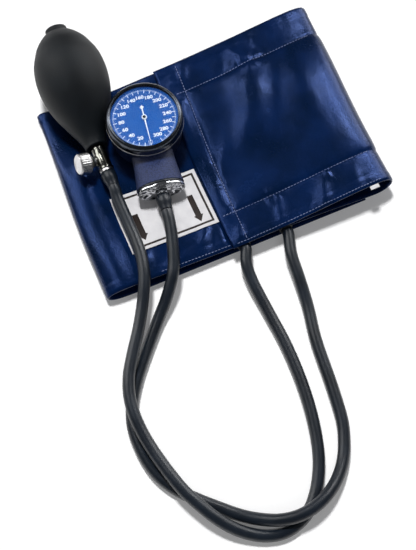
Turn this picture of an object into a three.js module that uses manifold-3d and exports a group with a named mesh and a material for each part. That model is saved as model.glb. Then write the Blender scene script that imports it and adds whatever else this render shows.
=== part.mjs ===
// Aneroid blood pressure set: folded nylon cuff with its bladder, rubber bulb with release valve,
// bell-shaped gauge and two rubber hoses, laid out on a table. Millimetres, +Z up, table at z = 0.
import * as THREE from 'three';
import { mergeVertices } from 'three/addons/utils/BufferGeometryUtils.js';
import Module from 'manifold-3d';

const wasm = await Module();
wasm.setup();

// General clearances and facets
const gap = 0.3; // between pieces that touch
const roundFacets = 28;
const smallFacets = 14;

// Cuff
const cuffWidth = 154;
const cuffFoldedLength = 221;
const cuffTurn = 23.5; // degrees, from +X to the cuff's long axis
const cuffX = 0.5;
const cuffY = -3.6;
const plyThickness = 0.6;
const plyGap = 0.3;
const bladderThickness = 1.6;
const bladderWidth = 100;
const lowerLayerEnd = 88; // along the cuff, where the hidden bottom layer stops
const topPanelEnd = -17.5; // along the cuff, the free edge of the top panel
const seamWidth = 7;
const leftFoldHeight = 13.2; // lower edge of the cuff, at the centre of the cloth
const rightFoldHeight = 24.8;
const pressedHeight = 2.6; // where the bulb presses the middle layer down
const portWidth = 7;
const portReach = 1.5;
const portSpots = [-9.2, 23.5]; // along the cuff, where the two hoses come out
const tapeThickness = 0.8;
const tapeGap = 0.4;
const hookTapeLength = 48;
const hookTapeWidth = 100;
const labelLength = 64.5;
const labelWidth = 46;
const labelThickness = 0.5;
const labelU = -50.3;
const labelV = -32.3;
const sizeTagLength = 7;
const sizeTagReach = 3;
const sizeTagThickness = 0.5;
const sizeTagInset = 14.3; // from the right fold

// Gauge
const gaugeX = -46.7;
const gaugeY = 5.2;
const gaugeTurn = 14.2; // degrees, from -Y to the stem
const bezelRadius = 27.6;
const bezelWall = 1.5;
const bezelHeight = 9.1;
const bezelLip = 0.9;
const caseWall = 1.5;
const caseFloor = 1.6;
const caseHeight = 23.2;
const caseBottom = 17;
const dialThickness = 0.8;
const dialHole = 1.2;
const gasketHeight = 1.4;
const crystalThickness = 1.2;
const bezelFace = 3.7; // from the outside of the bezel to its opening
const pointerReach = 19.5;
const pointerTail = 9.6;
const pointerWidth = 0.9;
const pointerThickness = 0.5;
const pointerHub = 1.9;
const stemLength = 50; // pointer axis to the face of the base
const baseRest = 0.25; // base of the gauge above the label
const neckHalfWidth = 15;
const neckHalfHeight = 8.5;
const neckRise = 3; // middle of the neck above the stem, at the head
const baseHalfWidth = 17.2;
const baseHalfHeight = 11.5;
const baseThickness = 3;
const neckWall = 1.6;
const stemTubeRadius = 2.2;
const stemBore = 1.2;
const barbNutAcross = 9;
const barbNutLength = 2.6;
const barbRadius = 2.6;
const barbLength = 9;
const clipThickness = 0.8;
const clipWidth = 13;
const clipLength = 30;
const clipDrop = 6.6;
const rivetRadius = 2.2;
const rivetHead = 0.4;

// Gauge movement
const scaleSweep = 338.4; // degrees, 0 to 300 mmHg
const gearRatio = 12;
const gearCentres = 15.6;
const toothDepth = 0.45;
const pinionTeeth = 8;
const sectorMargin = 4; // degrees of teeth past each end of the travel
const gearThickness = 0.8;
const arborRadius = 0.6;
const plateThickness = 1;
const lowerPlateRadius = 17.6;
const lowerPlateZ = 34.9;
const upperPlateRadius = 13.4;
const upperPlateZ = 38.4;
const platePillarRadius = 1.5;
const pillarInset = 4.1; // middle of the pillars from the wall of the case
const bridgePillarCircle = 11.4;
const capsuleInset = 3.7; // edge of the capsule from the middle of the pillars
const capsuleHeight = 6.6;
const capsuleRim = 2.4;
const capsuleWall = 0.8;
const capsuleStroke = 1.5;
const rockerArm = 6;
const rockerRadius = 0.9;
const rockerZ = 31.6;
const rockerWidth = 2;
const rockerStrip = 0.8;
const sectorTail = 0.9;
const pushRodRadius = 1.1;
const pushRodFoot = 3;
const hairspringTurns = 3;
const hairspringStrip = 0.35;
const hairspringPitch = 1.1;

// Bulb and valve
const bulbStart = [-113.4, 80.8, 38.1];
const bulbMouth = [-81.2, -8.6, 22.4];
const bulbWall = 2.4;
const bulbNeckBore = 3.7;
const collarBore = 5;
const valveTurn = 23; // degrees, from -Y
const valveRadius = 5.2;
const valveLength = 18.5;
const valveFlange = 5.7;
const valveFlangeLength = 1.6;
const valveBore = 2.1;
const valveSpigot = 3;
const valveSpigotLength = 9;
const valveThread = 2.7;
const outletSeat = 2; // from the bulb's mouth
const knobPlace = 10.2; // from the bulb's mouth
const knobTilt = 20; // degrees above the table
const knobRadius = 7.6;
const knobLength = 9.4;
const knobKnurls = 24;
const knurlDepth = 0.35;
const knobBossRadius = 3.8;
const knobBossReach = 5.9;
const screwRadius = 1.5;
const washerThickness = 0.8;
const checkBall = 1.5;
const springWire = 0.3;
const springTurns = 4;
const springLength = 5.6;
const inletLength = 9;
const inletRecess = 3.6;
const inletBore = 2.4;
const screenThickness = 0.5;
const screenHole = 0.5;

// Hoses
const hoseDiameter = 8.4;
const hoseSides = 10;
const sleeveDiameter = 10.8;
const sleeveLength = 11;
const sleeveBore = 3;

// Points chosen along each hose: x, y, z, from the layout's own origin
const bulbHoseRoute = [
  [-66, -46, 21.2], [-61.6, -56.2, 20], [-56.8, -67.2, 19.2], [-52.1, -78.4, 19.1], [-48.2, -89.7, 19.2],
  [-46, -101.5, 19], [-45.7, -112.3, 17.8], [-46.7, -124.8, 15.4], [-49.1, -141.4, 13.8], [-52.5, -158.3, 13.4],
  [-54.8, -174.3, 13.4], [-54.1, -188, 13.4], [-50.5, -200.9, 13.2], [-45, -212.7, 12.2], [-38.6, -223.2, 11.8],
  [-31.6, -233.2, 12.4], [-24.6, -242.4, 13.4], [-17.4, -250.8, 13.6], [-9, -258.4, 13.2], [1.2, -266.4, 11.6],
  [12.1, -272.7, 8.8], [23.6, -276.6, 6], [35.8, -278, 4.6], [46.8, -276, 4.5], [56.3, -270.1, 4.5],
  [63.3, -261.8, 4.5], [67.7, -251.2, 4.5], [70.2, -238.8, 4.5], [70.8, -224.3, 4.5], [68.2, -203.5, 4.5],
  [61.8, -178.1, 4.5], [51.3, -149.9, 4.5], [39.4, -125.6, 5], [28.8, -104.5, 8], [24.8, -92.5, 10.2],
];
const gaugeHoseRoute = [
  [-29.1, -63.9, 22.4], [-27.8, -70.9, 21.6], [-26.8, -78.7, 20.6], [-26, -87.3, 19.6], [-25.7, -95, 18.5],
  [-26.2, -103.4, 17.2], [-28.5, -112.5, 13.9], [-31.6, -121.3, 9.7], [-35.7, -131, 6.2], [-40.7, -144.9, 4.6],
  [-45.9, -160.6, 4.5], [-50.3, -176, 4.5], [-52.7, -191.2, 4.5], [-51.9, -206.2, 4.5], [-46.9, -220.3, 4.5],
  [-40.1, -232.3, 4.5], [-32.1, -241.5, 4.5], [-22.2, -248.6, 4.5], [-11.1, -253.8, 4.5], [3.8, -259.6, 4.5],
  [19.3, -265.1, 5.1], [32.7, -268, 7.6], [44, -268.9, 11], [54.8, -267, 13.2], [64.5, -262.2, 13.4],
  [73.7, -254.2, 12], [81.7, -242.6, 8.4], [86.8, -228.4, 5.4], [88.1, -213, 4.5], [87.3, -202.1, 4.5],
  [81.3, -178.1, 4.5], [71.9, -146.3, 4.5], [66.9, -121, 4.8], [61.3, -101.6, 8.2], [56.3, -85.2, 10.2],
];

// Materials
function paint(color, roughness, metalness = 0) {
  return new THREE.MeshStandardMaterial({ color, roughness, metalness });
}
const navyNylon = paint(0x0c1c4c, 0.55);
const navyPile = paint(0x0a153a, 0.95);
const bladderRubber = paint(0x1b1d20, 0.7);
const hoseRubber = paint(0x22272c, 0.5);
const bulbRubber = paint(0x1c2023, 0.6);
const whiteVinyl = paint(0xe4e2e0, 0.6);
const chrome = paint(0xd0d2d6, 0.12, 1);
const satinChrome = paint(0xb9babd, 0.35, 1);
const darkChrome = paint(0x3a3b40, 0.2, 1);
const navyEnamel = paint(0x1a2350, 0.45);
const crinkleEnamel = paint(0x4a5478, 0.6);
const blueDial = paint(0x1f56b4, 0.5);
const whiteEnamel = paint(0xeeeff2, 0.4);
const brass = paint(0xb8934a, 0.35, 1);
const steel = paint(0x9a9da2, 0.3, 1);
const glass = new THREE.MeshStandardMaterial({
  color: 0xe8f0f4, roughness: 0.05, transparent: true, opacity: 0.3,
});

// Solids and booleans
function toSolid(geometry) {
  const plain = geometry.clone();
  plain.deleteAttribute('normal');
  plain.deleteAttribute('uv');
  const merged = mergeVertices(plain, 1e-4);
  const triangles = [];
  for (let i = 0; i < merged.index.count; i += 3) {
    const corners = [0, 1, 2].map((k) => merged.index.getX(i + k));
    if (new Set(corners).size === 3) triangles.push(...corners);
  }
  return new wasm.Manifold(new wasm.Mesh({
    numProp: 3,
    vertProperties: new Float32Array(merged.attributes.position.array),
    triVerts: new Uint32Array(triangles),
  }));
}

function fromSolid(solid) {
  const mesh = solid.getMesh();
  const geometry = new THREE.BufferGeometry();
  geometry.setAttribute('position', new THREE.BufferAttribute(new Float32Array(mesh.vertProperties), 3));
  geometry.setIndex(new THREE.BufferAttribute(new Uint32Array(mesh.triVerts), 1));
  return geometry;
}

function cut(body, ...tools) {
  return fromSolid(tools.reduce((solid, tool) => solid.subtract(toSolid(tool)), toSolid(body)));
}

function join(body, ...others) {
  return fromSolid(others.reduce((solid, other) => solid.add(toSolid(other)), toSolid(body)));
}

// A turned solid about +Z: profile is a list of [radius, z], from axis to axis or a closed outline
function turned(profile, facets = roundFacets) {
  const points = profile.map(([r, z]) => new THREE.Vector2(r, z));
  const first = points[0];
  if (first.x > 0 && !first.equals(points[points.length - 1])) points.push(first.clone());
  if (THREE.ShapeUtils.area(points) < 0) points.reverse();
  return new THREE.LatheGeometry(points, facets).rotateX(Math.PI / 2);
}

function disc(radius, z0, z1, facets = roundFacets) {
  return turned([[0, z0], [radius, z0], [radius, z1], [0, z1]], facets);
}

// A ring of rectangular section
function ring(inner, outer, z0, z1, facets = roundFacets) {
  return turned([[inner, z0], [outer, z0], [outer, z1], [inner, z1], [inner, z0]], facets);
}

// A rod along any direction
function rod(radius, from, to, facets = smallFacets) {
  const start = new THREE.Vector3(...from);
  const along = new THREE.Vector3(...to).sub(start);
  const geometry = disc(radius, 0, along.length(), facets);
  const turn = new THREE.Quaternion().setFromUnitVectors(new THREE.Vector3(0, 0, 1), along.normalize());
  return geometry.applyQuaternion(turn).translate(...from);
}

function block([x0, x1], [y0, y1], [z0, z1]) {
  const geometry = new THREE.BoxGeometry(x1 - x0, y1 - y0, z1 - z0);
  return geometry.translate((x0 + x1) / 2, (y0 + y1) / 2, (z0 + z1) / 2);
}

// Closed surface from rings of points that close on themselves: each ring joined to the next,
// and the last ring to the first or to flat end caps
function skinOfRings(rings, closedLoop) {
  const sides = rings[0].length;
  const positions = rings.flat().flatMap((p) => [p.x, p.y, p.z]);
  const index = [];
  const spans = closedLoop ? rings.length : rings.length - 1;
  for (let i = 0; i < spans; i += 1) {
    const here = i * sides;
    const next = ((i + 1) % rings.length) * sides;
    for (let k = 0; k < sides; k += 1) {
      const kNext = (k + 1) % sides;
      index.push(here + k, here + kNext, next + k, here + kNext, next + kNext, next + k);
    }
  }
  if (!closedLoop) {
    const last = (rings.length - 1) * sides;
    for (let k = 1; k < sides - 1; k += 1) {
      index.push(0, k + 1, k, last, last + k, last + k + 1);
    }
  }
  const geometry = new THREE.BufferGeometry();
  geometry.setAttribute('position', new THREE.Float32BufferAttribute(positions, 3));
  geometry.setIndex(index);
  return geometry;
}

// Circles of given radii along a curve's points, kept untwisted
function circlesAlong(points, radii, facets) {
  const rings = [];
  let side = null;
  points.forEach((point, i) => {
    const before = points[Math.max(i - 1, 0)];
    const after = points[Math.min(i + 1, points.length - 1)];
    const tangent = after.clone().sub(before).normalize();
    if (side === null) side = new THREE.Vector3(0, 0, 1).cross(tangent).normalize();
    side.addScaledVector(tangent, -side.dot(tangent)).normalize();
    const up = tangent.clone().cross(side);
    const circle = [];
    for (let k = 0; k < facets; k += 1) {
      const turn = (2 * Math.PI * k) / facets;
      circle.push(point.clone()
        .addScaledVector(side, radii[i] * Math.cos(turn))
        .addScaledVector(up, radii[i] * Math.sin(turn)));
    }
    rings.push(circle);
  });
  return rings;
}

function extruded(outline, depth, holes = []) {
  const shape = new THREE.Shape(outline.map(([x, y]) => new THREE.Vector2(x, y)));
  holes.forEach(([x, y, radius]) => {
    const hole = new THREE.Path();
    hole.absarc(x, y, radius, 0, 2 * Math.PI, true);
    shape.holes.push(hole);
  });
  return new THREE.ExtrudeGeometry(shape, { depth, bevelEnabled: false, curveSegments: smallFacets });
}

const degrees = THREE.MathUtils.degToRad;

const layout = new THREE.Group();

function add(name, geometry, material, group = layout) {
  const mesh = new THREE.Mesh(geometry, material);
  mesh.name = name;
  group.add(mesh);
  return mesh;
}

// Cuff: the cloth's fold in the plane of its length u and height z. The strip runs from its hidden
// end under the right side, left along the table, over the left fold, right as the middle layer,
// over the right fold and back left as the top panel. Each point: u, then z at the lower edge, at
// the middle and at the upper edge of the cuff.
const halfLength = cuffFoldedLength / 2;
const halfWidth = cuffWidth / 2;
const lowerZ = plyThickness + plyGap / 2;
const leftEdge = -halfLength + lowerZ;
const rightEdge = halfLength - lowerZ;
const foldPoints = [
  [lowerLayerEnd, lowerZ, lowerZ, lowerZ],
  [40, lowerZ, lowerZ, lowerZ],
  [0, lowerZ, lowerZ, lowerZ],
  [-40, lowerZ, lowerZ, lowerZ],
  [-80, lowerZ, lowerZ, lowerZ],
  [leftEdge + 12, lowerZ + 0.15, lowerZ + 0.15, lowerZ + 0.05],
  [leftEdge + 4, 2.2, 2, 1.3],
  [leftEdge, 6.2, 5.6, 3.2],
  [leftEdge + 2.4, leftFoldHeight - 2.4, leftFoldHeight - 3, pressedHeight + 2.9],
  [leftEdge + 10, leftFoldHeight - 0.3, leftFoldHeight - 1.2, pressedHeight + 2.4],
  [-88, leftFoldHeight, 11, pressedHeight + 0.5],
  [-70, leftFoldHeight - 0.6, 9.6, pressedHeight],
  [-50, leftFoldHeight - 1.2, 9.2, 3],
  [-35, 11.5, 9.2, 5],
  [-20, 11, 9.2, 7],
  [0, 10.6, 9, 8],
  [25, 10.3, 8.6, 8],
  [50, 9, 7.8, 7.5],
  [70, 6.8, 6.6, 6.6],
  [88, 4.6, 4.4, 4.4],
  [rightEdge - 9, 4.2, 4, 4.4],
  [rightEdge - 2.5, 8, 7.6, 7.6],
  [rightEdge, 14, 13.4, 12.5],
  [rightEdge - 2.5, rightFoldHeight - 4.3, 19.6, 17],
  [rightEdge - 10, rightFoldHeight - 0.4, 23.4, 19.6],
  [86, rightFoldHeight, 23.8, 20],
  [68, 23.4, 21.8, 19],
  [45, 20.6, 18.4, 17],
  [20, 17.6, 15.2, 15.2],
  [0, 16.6, 13.6, 14],
  [topPanelEnd, 15.3, 12.8, 13],
];
// How far the cloth lies askew, at its lower and its upper edge: drift along and across the cuff
const square = { lower: [0, 0], upper: [0, 0] };
const askew = [
  { span: 0, ...square },
  { span: 4, ...square },
  { span: 8, lower: [-1.3, 1], upper: [4.3, 3] }, // left fold
  { span: 15, ...square },
  { span: 22, lower: [-3, 0], upper: [1.5, 3.7] }, // right fold
  { span: foldPoints.length - 1, lower: [0, -2.4], upper: [2.8, -1.6] }, // free edge of the top panel
];
const stepsPerSpan = 2;
const acrossStations = [-halfWidth, -halfWidth + seamWidth, -bladderWidth / 2, -30, 0, 30,
  bladderWidth / 2, halfWidth - seamWidth, halfWidth];

function foldCurve(column) {
  const points = foldPoints.map((p) => new THREE.Vector3(p[0], 0, p[column]));
  return new THREE.CatmullRomCurve3(points, false, 'catmullrom', 0.5);
}
const foldCurves = [foldCurve(1), foldCurve(2), foldCurve(3)];
const foldSpans = foldPoints.length - 1;

function driftAt(span, across) {
  const next = Math.max(askew.findIndex((place) => place.span > span), 1);
  const [from, to] = span >= foldSpans ? askew.slice(-2) : [askew[next - 1], askew[next]];
  const share = THREE.MathUtils.smoothstep(span, from.span, to.span);
  const toUpper = THREE.MathUtils.smoothstep(across, -halfWidth / 2, halfWidth);
  return [0, 1].map((axis) => THREE.MathUtils.lerp(
    THREE.MathUtils.lerp(from.lower[axis], to.lower[axis], share),
    THREE.MathUtils.lerp(from.upper[axis], to.upper[axis], share),
    toUpper,
  ));
}

// Centre of the cloth and its upper-face normal at a place along the fold (in spans) and across it
function clothAt(span, across) {
  const share = span / foldSpans;
  const toLower = THREE.MathUtils.smoothstep(-across, 15, halfWidth);
  const toUpper = THREE.MathUtils.smoothstep(across, 15, 60);
  const [lower, middle, upper] = foldCurves.map((curve) => curve.getPoint(share));
  const [lowerDir, middleDir, upperDir] = foldCurves.map((curve) => curve.getTangent(share));
  const centre = middle.lerp(lower, toLower).lerp(upper, toUpper);
  const along = middleDir.lerp(lowerDir, toLower).lerp(upperDir, toUpper).normalize();
  return { u: centre.x, z: centre.z, normalU: -along.z, normalZ: along.x };
}

function clothPoint(span, across, offset) {
  const at = clothAt(span, across);
  const [alongDrift, acrossDrift] = driftAt(span, across);
  const u = at.u + offset * at.normalU + alongDrift;
  const v = across + acrossDrift;
  const turn = degrees(cuffTurn);
  return new THREE.Vector3(
    cuffX + u * Math.cos(turn) - v * Math.sin(turn),
    cuffY + u * Math.sin(turn) + v * Math.cos(turn),
    at.z + offset * at.normalZ,
  );
}

// The span at which one layer of the fold passes a place along the cuff
function spanAt(u, first, last) {
  let low = first;
  let high = last;
  const rising = foldPoints[last][0] > foldPoints[first][0];
  for (let i = 0; i < 30; i += 1) {
    const middle = (low + high) / 2;
    if ((clothAt(middle, 0).u < u) === rising) low = middle;
    else high = middle;
  }
  return (low + high) / 2;
}
const middleLayer = [11, 19];
const topLayer = [25, foldSpans];
const bladderSpans = [spanAt(portSpots[0] - 5, ...middleLayer), foldSpans - 1.5];

// Half of the space between the two plies
function plyHalfGap(span, across) {
  const inside = span > bladderSpans[0] - 0.5 && span < bladderSpans[1] + 0.5;
  const [portsFrom, portsTo] = [portSpots[0] - 22, portSpots[1] + 22].map((u) => spanAt(u, ...middleLayer));
  const alongPorts = span > portsFrom && span < portsTo;
  const overBladder = Math.abs(across) <= bladderWidth / 2 + gap;
  const atPorts = alongPorts && across < 0;
  const open = inside && (overBladder || atPorts);
  return open ? bladderThickness / 2 + gap : plyGap / 2;
}

// A sheet of the fold between two offsets from its centre
function sheet(spans, acrosses, low, high) {
  const columns = acrosses.length;
  const rows = spans.length;
  const faces = [low, high].map((offset) => spans.flatMap((span) => (
    acrosses.map((across) => clothPoint(span, across, offset(span, across))))));
  const under = (i, j) => i * columns + j;
  const over = (i, j) => (rows + i) * columns + j;
  const index = [];
  const quad = (a, b, c, d) => index.push(a, c, b, a, d, c);
  for (let i = 0; i < rows - 1; i += 1) {
    for (let j = 0; j < columns - 1; j += 1) {
      quad(over(i, j), over(i, j + 1), over(i + 1, j + 1), over(i + 1, j));
      index.push(under(i, j), under(i, j + 1), under(i + 1, j + 1), under(i, j), under(i + 1, j + 1), under(i + 1, j));
    }
    quad(under(i, 0), over(i, 0), over(i + 1, 0), under(i + 1, 0));
    const end = columns - 1;
    quad(under(i, end), under(i + 1, end), over(i + 1, end), over(i, end));
  }
  for (let j = 0; j < columns - 1; j += 1) {
    quad(under(0, j), under(0, j + 1), over(0, j + 1), over(0, j));
    const end = rows - 1;
    quad(under(end, j), over(end, j), over(end, j + 1), under(end, j + 1));
  }
  const geometry = new THREE.BufferGeometry();
  geometry.setAttribute('position', new THREE.Float32BufferAttribute(faces.flat().flatMap((p) => [p.x, p.y, p.z]), 3));
  geometry.setIndex(index);
  return geometry;
}

function stations(first, last, count) {
  return Array.from({ length: count + 1 }, (_, i) => first + ((last - first) * i) / count);
}

const clothSpans = stations(0, foldSpans, foldSpans * stepsPerSpan);
add('cuff_outer_cloth', sheet(clothSpans, acrossStations,
  (s, v) => plyHalfGap(s, v), (s, v) => plyHalfGap(s, v) + plyThickness), navyNylon);
add('cuff_inner_cloth', sheet(clothSpans, acrossStations,
  (s, v) => -plyHalfGap(s, v) - plyThickness, (s, v) => -plyHalfGap(s, v)), navyNylon);

const bladderStations = clothSpans.filter((s) => s >= bladderSpans[0] && s <= bladderSpans[1]);
const bladderAcross = acrossStations.filter((v) => Math.abs(v) <= bladderWidth / 2);
const halfBladder = bladderThickness / 2;
const bladderSheet = sheet(bladderStations, bladderAcross, () => -halfBladder, () => halfBladder);
const portAcross = [-halfWidth - portReach, -halfWidth + seamWidth, -bladderWidth / 2 + 6];
const ports = portSpots.map((spot) => {
  const spans = [spot - portWidth / 2, spot + portWidth / 2].map((u) => spanAt(u, ...middleLayer));
  return sheet(spans, portAcross, () => -halfBladder + 0.1, () => halfBladder - 0.1);
});
add('bladder', join(bladderSheet, ...ports), bladderRubber);

// Hook and loop tapes on the hidden faces
const panelSpans = clothSpans.filter((s) => s >= 26.5 && s <= foldSpans - 0.5);
const tapeAcross = [-bladderWidth / 2 + 2, -30, 0, 30, bladderWidth / 2 - 6];
add('loop_tape', sheet(panelSpans, tapeAcross,
  (s, v) => plyHalfGap(s, v) + plyThickness + tapeGap,
  (s, v) => plyHalfGap(s, v) + plyThickness + tapeGap + tapeThickness), navyPile);
const hookAcross = stations(-hookTapeWidth / 2, hookTapeWidth / 2, 2);
const hookSpans = [0.4, 1, spanAt(lowerLayerEnd - hookTapeLength - 4, 0, 5)];
const hookFace = -plyGap / 2 - plyThickness - tapeGap;
add('hook_tape', sheet(hookSpans, hookAcross, () => hookFace - tapeThickness, () => hookFace), navyPile);

// Label on the middle layer and the size tag at the top panel's edge
const labelEnds = [-1, 1].map((side) => spanAt(labelU + (side * labelLength) / 2, 9, 19));
const labelSpans = [labelEnds[0], ...clothSpans.filter((s) => s > labelEnds[0] && s < labelEnds[1]), labelEnds[1]];
const labelAcross = stations(labelV - labelWidth / 2, labelV + labelWidth / 2, 4);
function labelFace(span, across) {
  const before = Math.floor(span * stepsPerSpan) / stepsPerSpan;
  const after = before + 1 / stepsPerSpan;
  const share = (span - before) * stepsPerSpan;
  return plyHalfGap(before, across) * (1 - share) + plyHalfGap(after, across) * share + plyThickness + tapeGap;
}
add('artery_label', sheet(labelSpans, labelAcross,
  labelFace, (s, v) => labelFace(s, v) + labelThickness), whiteVinyl);
const sizeTagU = halfLength - sizeTagInset;
const tagSpans = [sizeTagU, sizeTagU - sizeTagLength].map((u) => spanAt(u, 23, 26));
add('size_tag', sheet(tagSpans, [-halfWidth - sizeTagReach, -halfWidth - gap],
  () => -sizeTagThickness / 2, () => sizeTagThickness / 2), whiteVinyl);

// Gauge: built about the pointer's axis, stem along -Y, heights from the table. Its base lies on the
// label, which sets the height of the stem.
const baseX = gaugeX + stemLength * Math.sin(degrees(gaugeTurn)) - cuffX;
const baseY = gaugeY - stemLength * Math.cos(degrees(gaugeTurn)) - cuffY;
const baseU = baseX * Math.cos(degrees(cuffTurn)) + baseY * Math.sin(degrees(cuffTurn));
const baseV = baseY * Math.cos(degrees(cuffTurn)) - baseX * Math.sin(degrees(cuffTurn));
const underBase = spanAt(baseU, 9, 19);
const stemHeight = clothAt(underBase, baseV).z + labelFace(underBase, baseV) + labelThickness
  + baseRest + baseHalfHeight;
const gauge = new THREE.Group();
gauge.position.set(gaugeX, gaugeY, 0);
gauge.rotation.z = degrees(gaugeTurn);
layout.add(gauge);

const caseRadius = bezelRadius - bezelWall - gap;
const caseInner = caseRadius - caseWall;
const sightRadius = bezelRadius - bezelFace;
const pillarCircle = caseInner - pillarInset;
const capsuleRadius = pillarCircle - capsuleInset;
const caseTop = caseBottom + caseHeight;
const floorTop = caseBottom + caseFloor;
const dialZ = caseTop + gap;
const dialTop = dialZ + dialThickness;
const gasketZ = dialTop + gap;
const crystalZ = gasketZ + gasketHeight + gap;
const crystalTop = crystalZ + crystalThickness;
const bezelTop = crystalTop + gap + bezelLip;
const sealRadius = caseRadius - 0.6;

add('head_case', cut(
  turned([[0, caseBottom], [caseRadius - 2.5, caseBottom], [caseRadius - 0.8, caseBottom + 0.8],
    [caseRadius, caseBottom + 2.5], [caseRadius, caseTop], [caseInner, caseTop], [caseInner, floorTop], [0, floorTop]]),
  rod(stemTubeRadius + gap, [0, -caseRadius - 2, stemHeight], [0, -caseInner + 2, stemHeight]),
), navyEnamel, gauge);

const bezelEdge = 1.3;
add('bezel', turned([
  [sightRadius, bezelTop - bezelLip], [sightRadius, bezelTop - bezelLip + 0.4], [sightRadius + 0.7, bezelTop],
  [bezelRadius - bezelEdge, bezelTop], [bezelRadius - 0.3, bezelTop - bezelEdge],
  [bezelRadius, bezelTop - 2 * bezelEdge],
  [bezelRadius, bezelTop - bezelHeight], [bezelRadius - bezelWall, bezelTop - bezelHeight],
  [bezelRadius - bezelWall, bezelTop - bezelLip], [sightRadius, bezelTop - bezelLip]]), darkChrome, gauge);

add('crystal', disc(sealRadius, crystalZ, crystalTop), glass, gauge);
add('crystal_gasket', ring(sightRadius, sealRadius, gasketZ, gasketZ + gasketHeight), hoseRubber, gauge);
add('dial_plate', turned([[dialHole, dialZ], [sealRadius, dialZ], [sealRadius, dialTop], [dialHole, dialTop],
  [dialHole, dialZ]]), blueDial, gauge);

// Pointer at zero, toward the stem, with a diamond on its tail
const pointerZ = dialTop + 0.7;
const half = pointerWidth / 2;
const diamond = 1.5;
const pointerOutline = [
  [0.2, -pointerReach], [half, -pointerHub], [pointerHub * 0.9, 0], [half, pointerHub],
  [half, pointerTail - 2 * diamond], [diamond, pointerTail - diamond], [0, pointerTail],
  [-diamond, pointerTail - diamond], [-half, pointerTail - 2 * diamond], [-half, pointerHub],
  [-pointerHub * 0.9, 0], [-half, -pointerHub], [-0.2, -pointerReach]];
add('pointer', join(
  extruded(pointerOutline, pointerThickness).translate(0, 0, pointerZ),
  disc(pointerHub, pointerZ - 0.2, pointerZ + pointerThickness + 0.3, smallFacets),
), whiteEnamel, gauge);

// Pinion and sector: pitch radii follow from the centre distance and the ratio
const pinionRadius = gearCentres / (1 + gearRatio);
const sectorRadius = gearCentres - pinionRadius;
const gearZ = lowerPlateZ + plateThickness + 0.7;
const toothClear = gap / 2;

function toothedArc(radius, from, to, teeth) {
  const points = [];
  const step = (to - from) / teeth;
  for (let i = 0; i < teeth; i += 1) {
    const start = from + i * step;
    [[0, toothDepth], [0.2, toothDepth], [0.35, 0], [0.65, 0], [0.8, toothDepth]].forEach(([share, depth]) => {
      const turn = degrees(start + share * step);
      points.push([(radius - depth) * Math.cos(turn), (radius - depth) * Math.sin(turn)]);
    });
  }
  return points;
}

const arborTop = pointerZ - 0.3 - gap;
const pinionOutline = toothedArc(pinionRadius - toothClear, 0, 360, pinionTeeth);
add('pointer_arbor', join(
  disc(arborRadius, lowerPlateZ + 0.2, arborTop, smallFacets),
  extruded(pinionOutline, gearThickness + 0.4).translate(0, 0, gearZ - 0.2),
), steel, gauge);

// Sector gear: pivot beside the rocker's shaft, its tail in reach of the rocker's blade
const pivotY = -rockerArm;
const pivotX = -Math.sqrt(gearCentres ** 2 - pivotY ** 2);
const sectorSweep = scaleSweep / gearRatio;
const rockerSweep = capsuleStroke / rockerArm;
const bladeHeight = gearZ + gearThickness / 2 - rockerZ;
const tailReach = (bladeHeight * rockerSweep) / degrees(sectorSweep);
const sectorHalf = sectorSweep / 2 + sectorMargin;
const towardPinion = THREE.MathUtils.radToDeg(Math.atan2(-pivotY, -pivotX));
const sectorRest = -sectorSweep / 2;
const sectorTeeth = Math.round((2 * sectorHalf * pinionTeeth * gearRatio) / 360);
const sectorHub = 2;
const sectorOutline = [
  [-1.2, -sectorHub * 0.8],
  ...toothedArc(sectorRadius - toothClear, towardPinion - sectorHalf, towardPinion + sectorHalf, sectorTeeth),
  [-1.2, sectorHub * 0.9], [-tailReach - sectorTail, sectorTail], [-tailReach - sectorTail, -sectorTail]];
const sector = new THREE.Group();
sector.position.set(pivotX, pivotY, 0);
sector.rotation.z = degrees(sectorRest);
gauge.add(sector);
const sectorArborRadius = 0.8;
add('sector_gear', join(
  extruded(sectorOutline, gearThickness).translate(0, 0, gearZ),
  disc(sectorArborRadius, lowerPlateZ + 0.2, upperPlateZ - gap, smallFacets),
), brass, sector);

// Rocker: shaft along X, arm over the push rod, blade beside the sector's tail
const bladeX = pivotX - tailReach;
const shaftFrom = bladeX - 1.6;
const shaftTo = 5;
const rocker = new THREE.Group();
rocker.position.set(0, -rockerArm, rockerZ);
gauge.add(rocker);
const bladeFaceY = (tailReach + sectorTail) * Math.sin(degrees(sectorSweep / 2)) + sectorTail + 2 * gap;
const blade = extruded([[bladeFaceY, bladeHeight + 0.9], [bladeFaceY, bladeHeight - 1.4], [-0.3, -0.3], [0.7, -0.6],
  [bladeFaceY + 0.9, bladeHeight - 1.6], [bladeFaceY + 0.9, bladeHeight + 0.9]], rockerStrip);
blade.applyMatrix4(new THREE.Matrix4().makeBasis(
  new THREE.Vector3(0, 1, 0), new THREE.Vector3(0, 0, 1), new THREE.Vector3(1, 0, 0)));
blade.translate(bladeX - rockerStrip / 2, 0, 0);
add('rocker_shaft', join(
  rod(rockerRadius, [shaftFrom, 0, 0], [shaftTo, 0, 0]),
  block([-rockerWidth / 2, rockerWidth / 2], [0, rockerArm + 1.2], [-rockerStrip / 2, rockerStrip / 2]),
  blade,
), steel, rocker);

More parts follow.
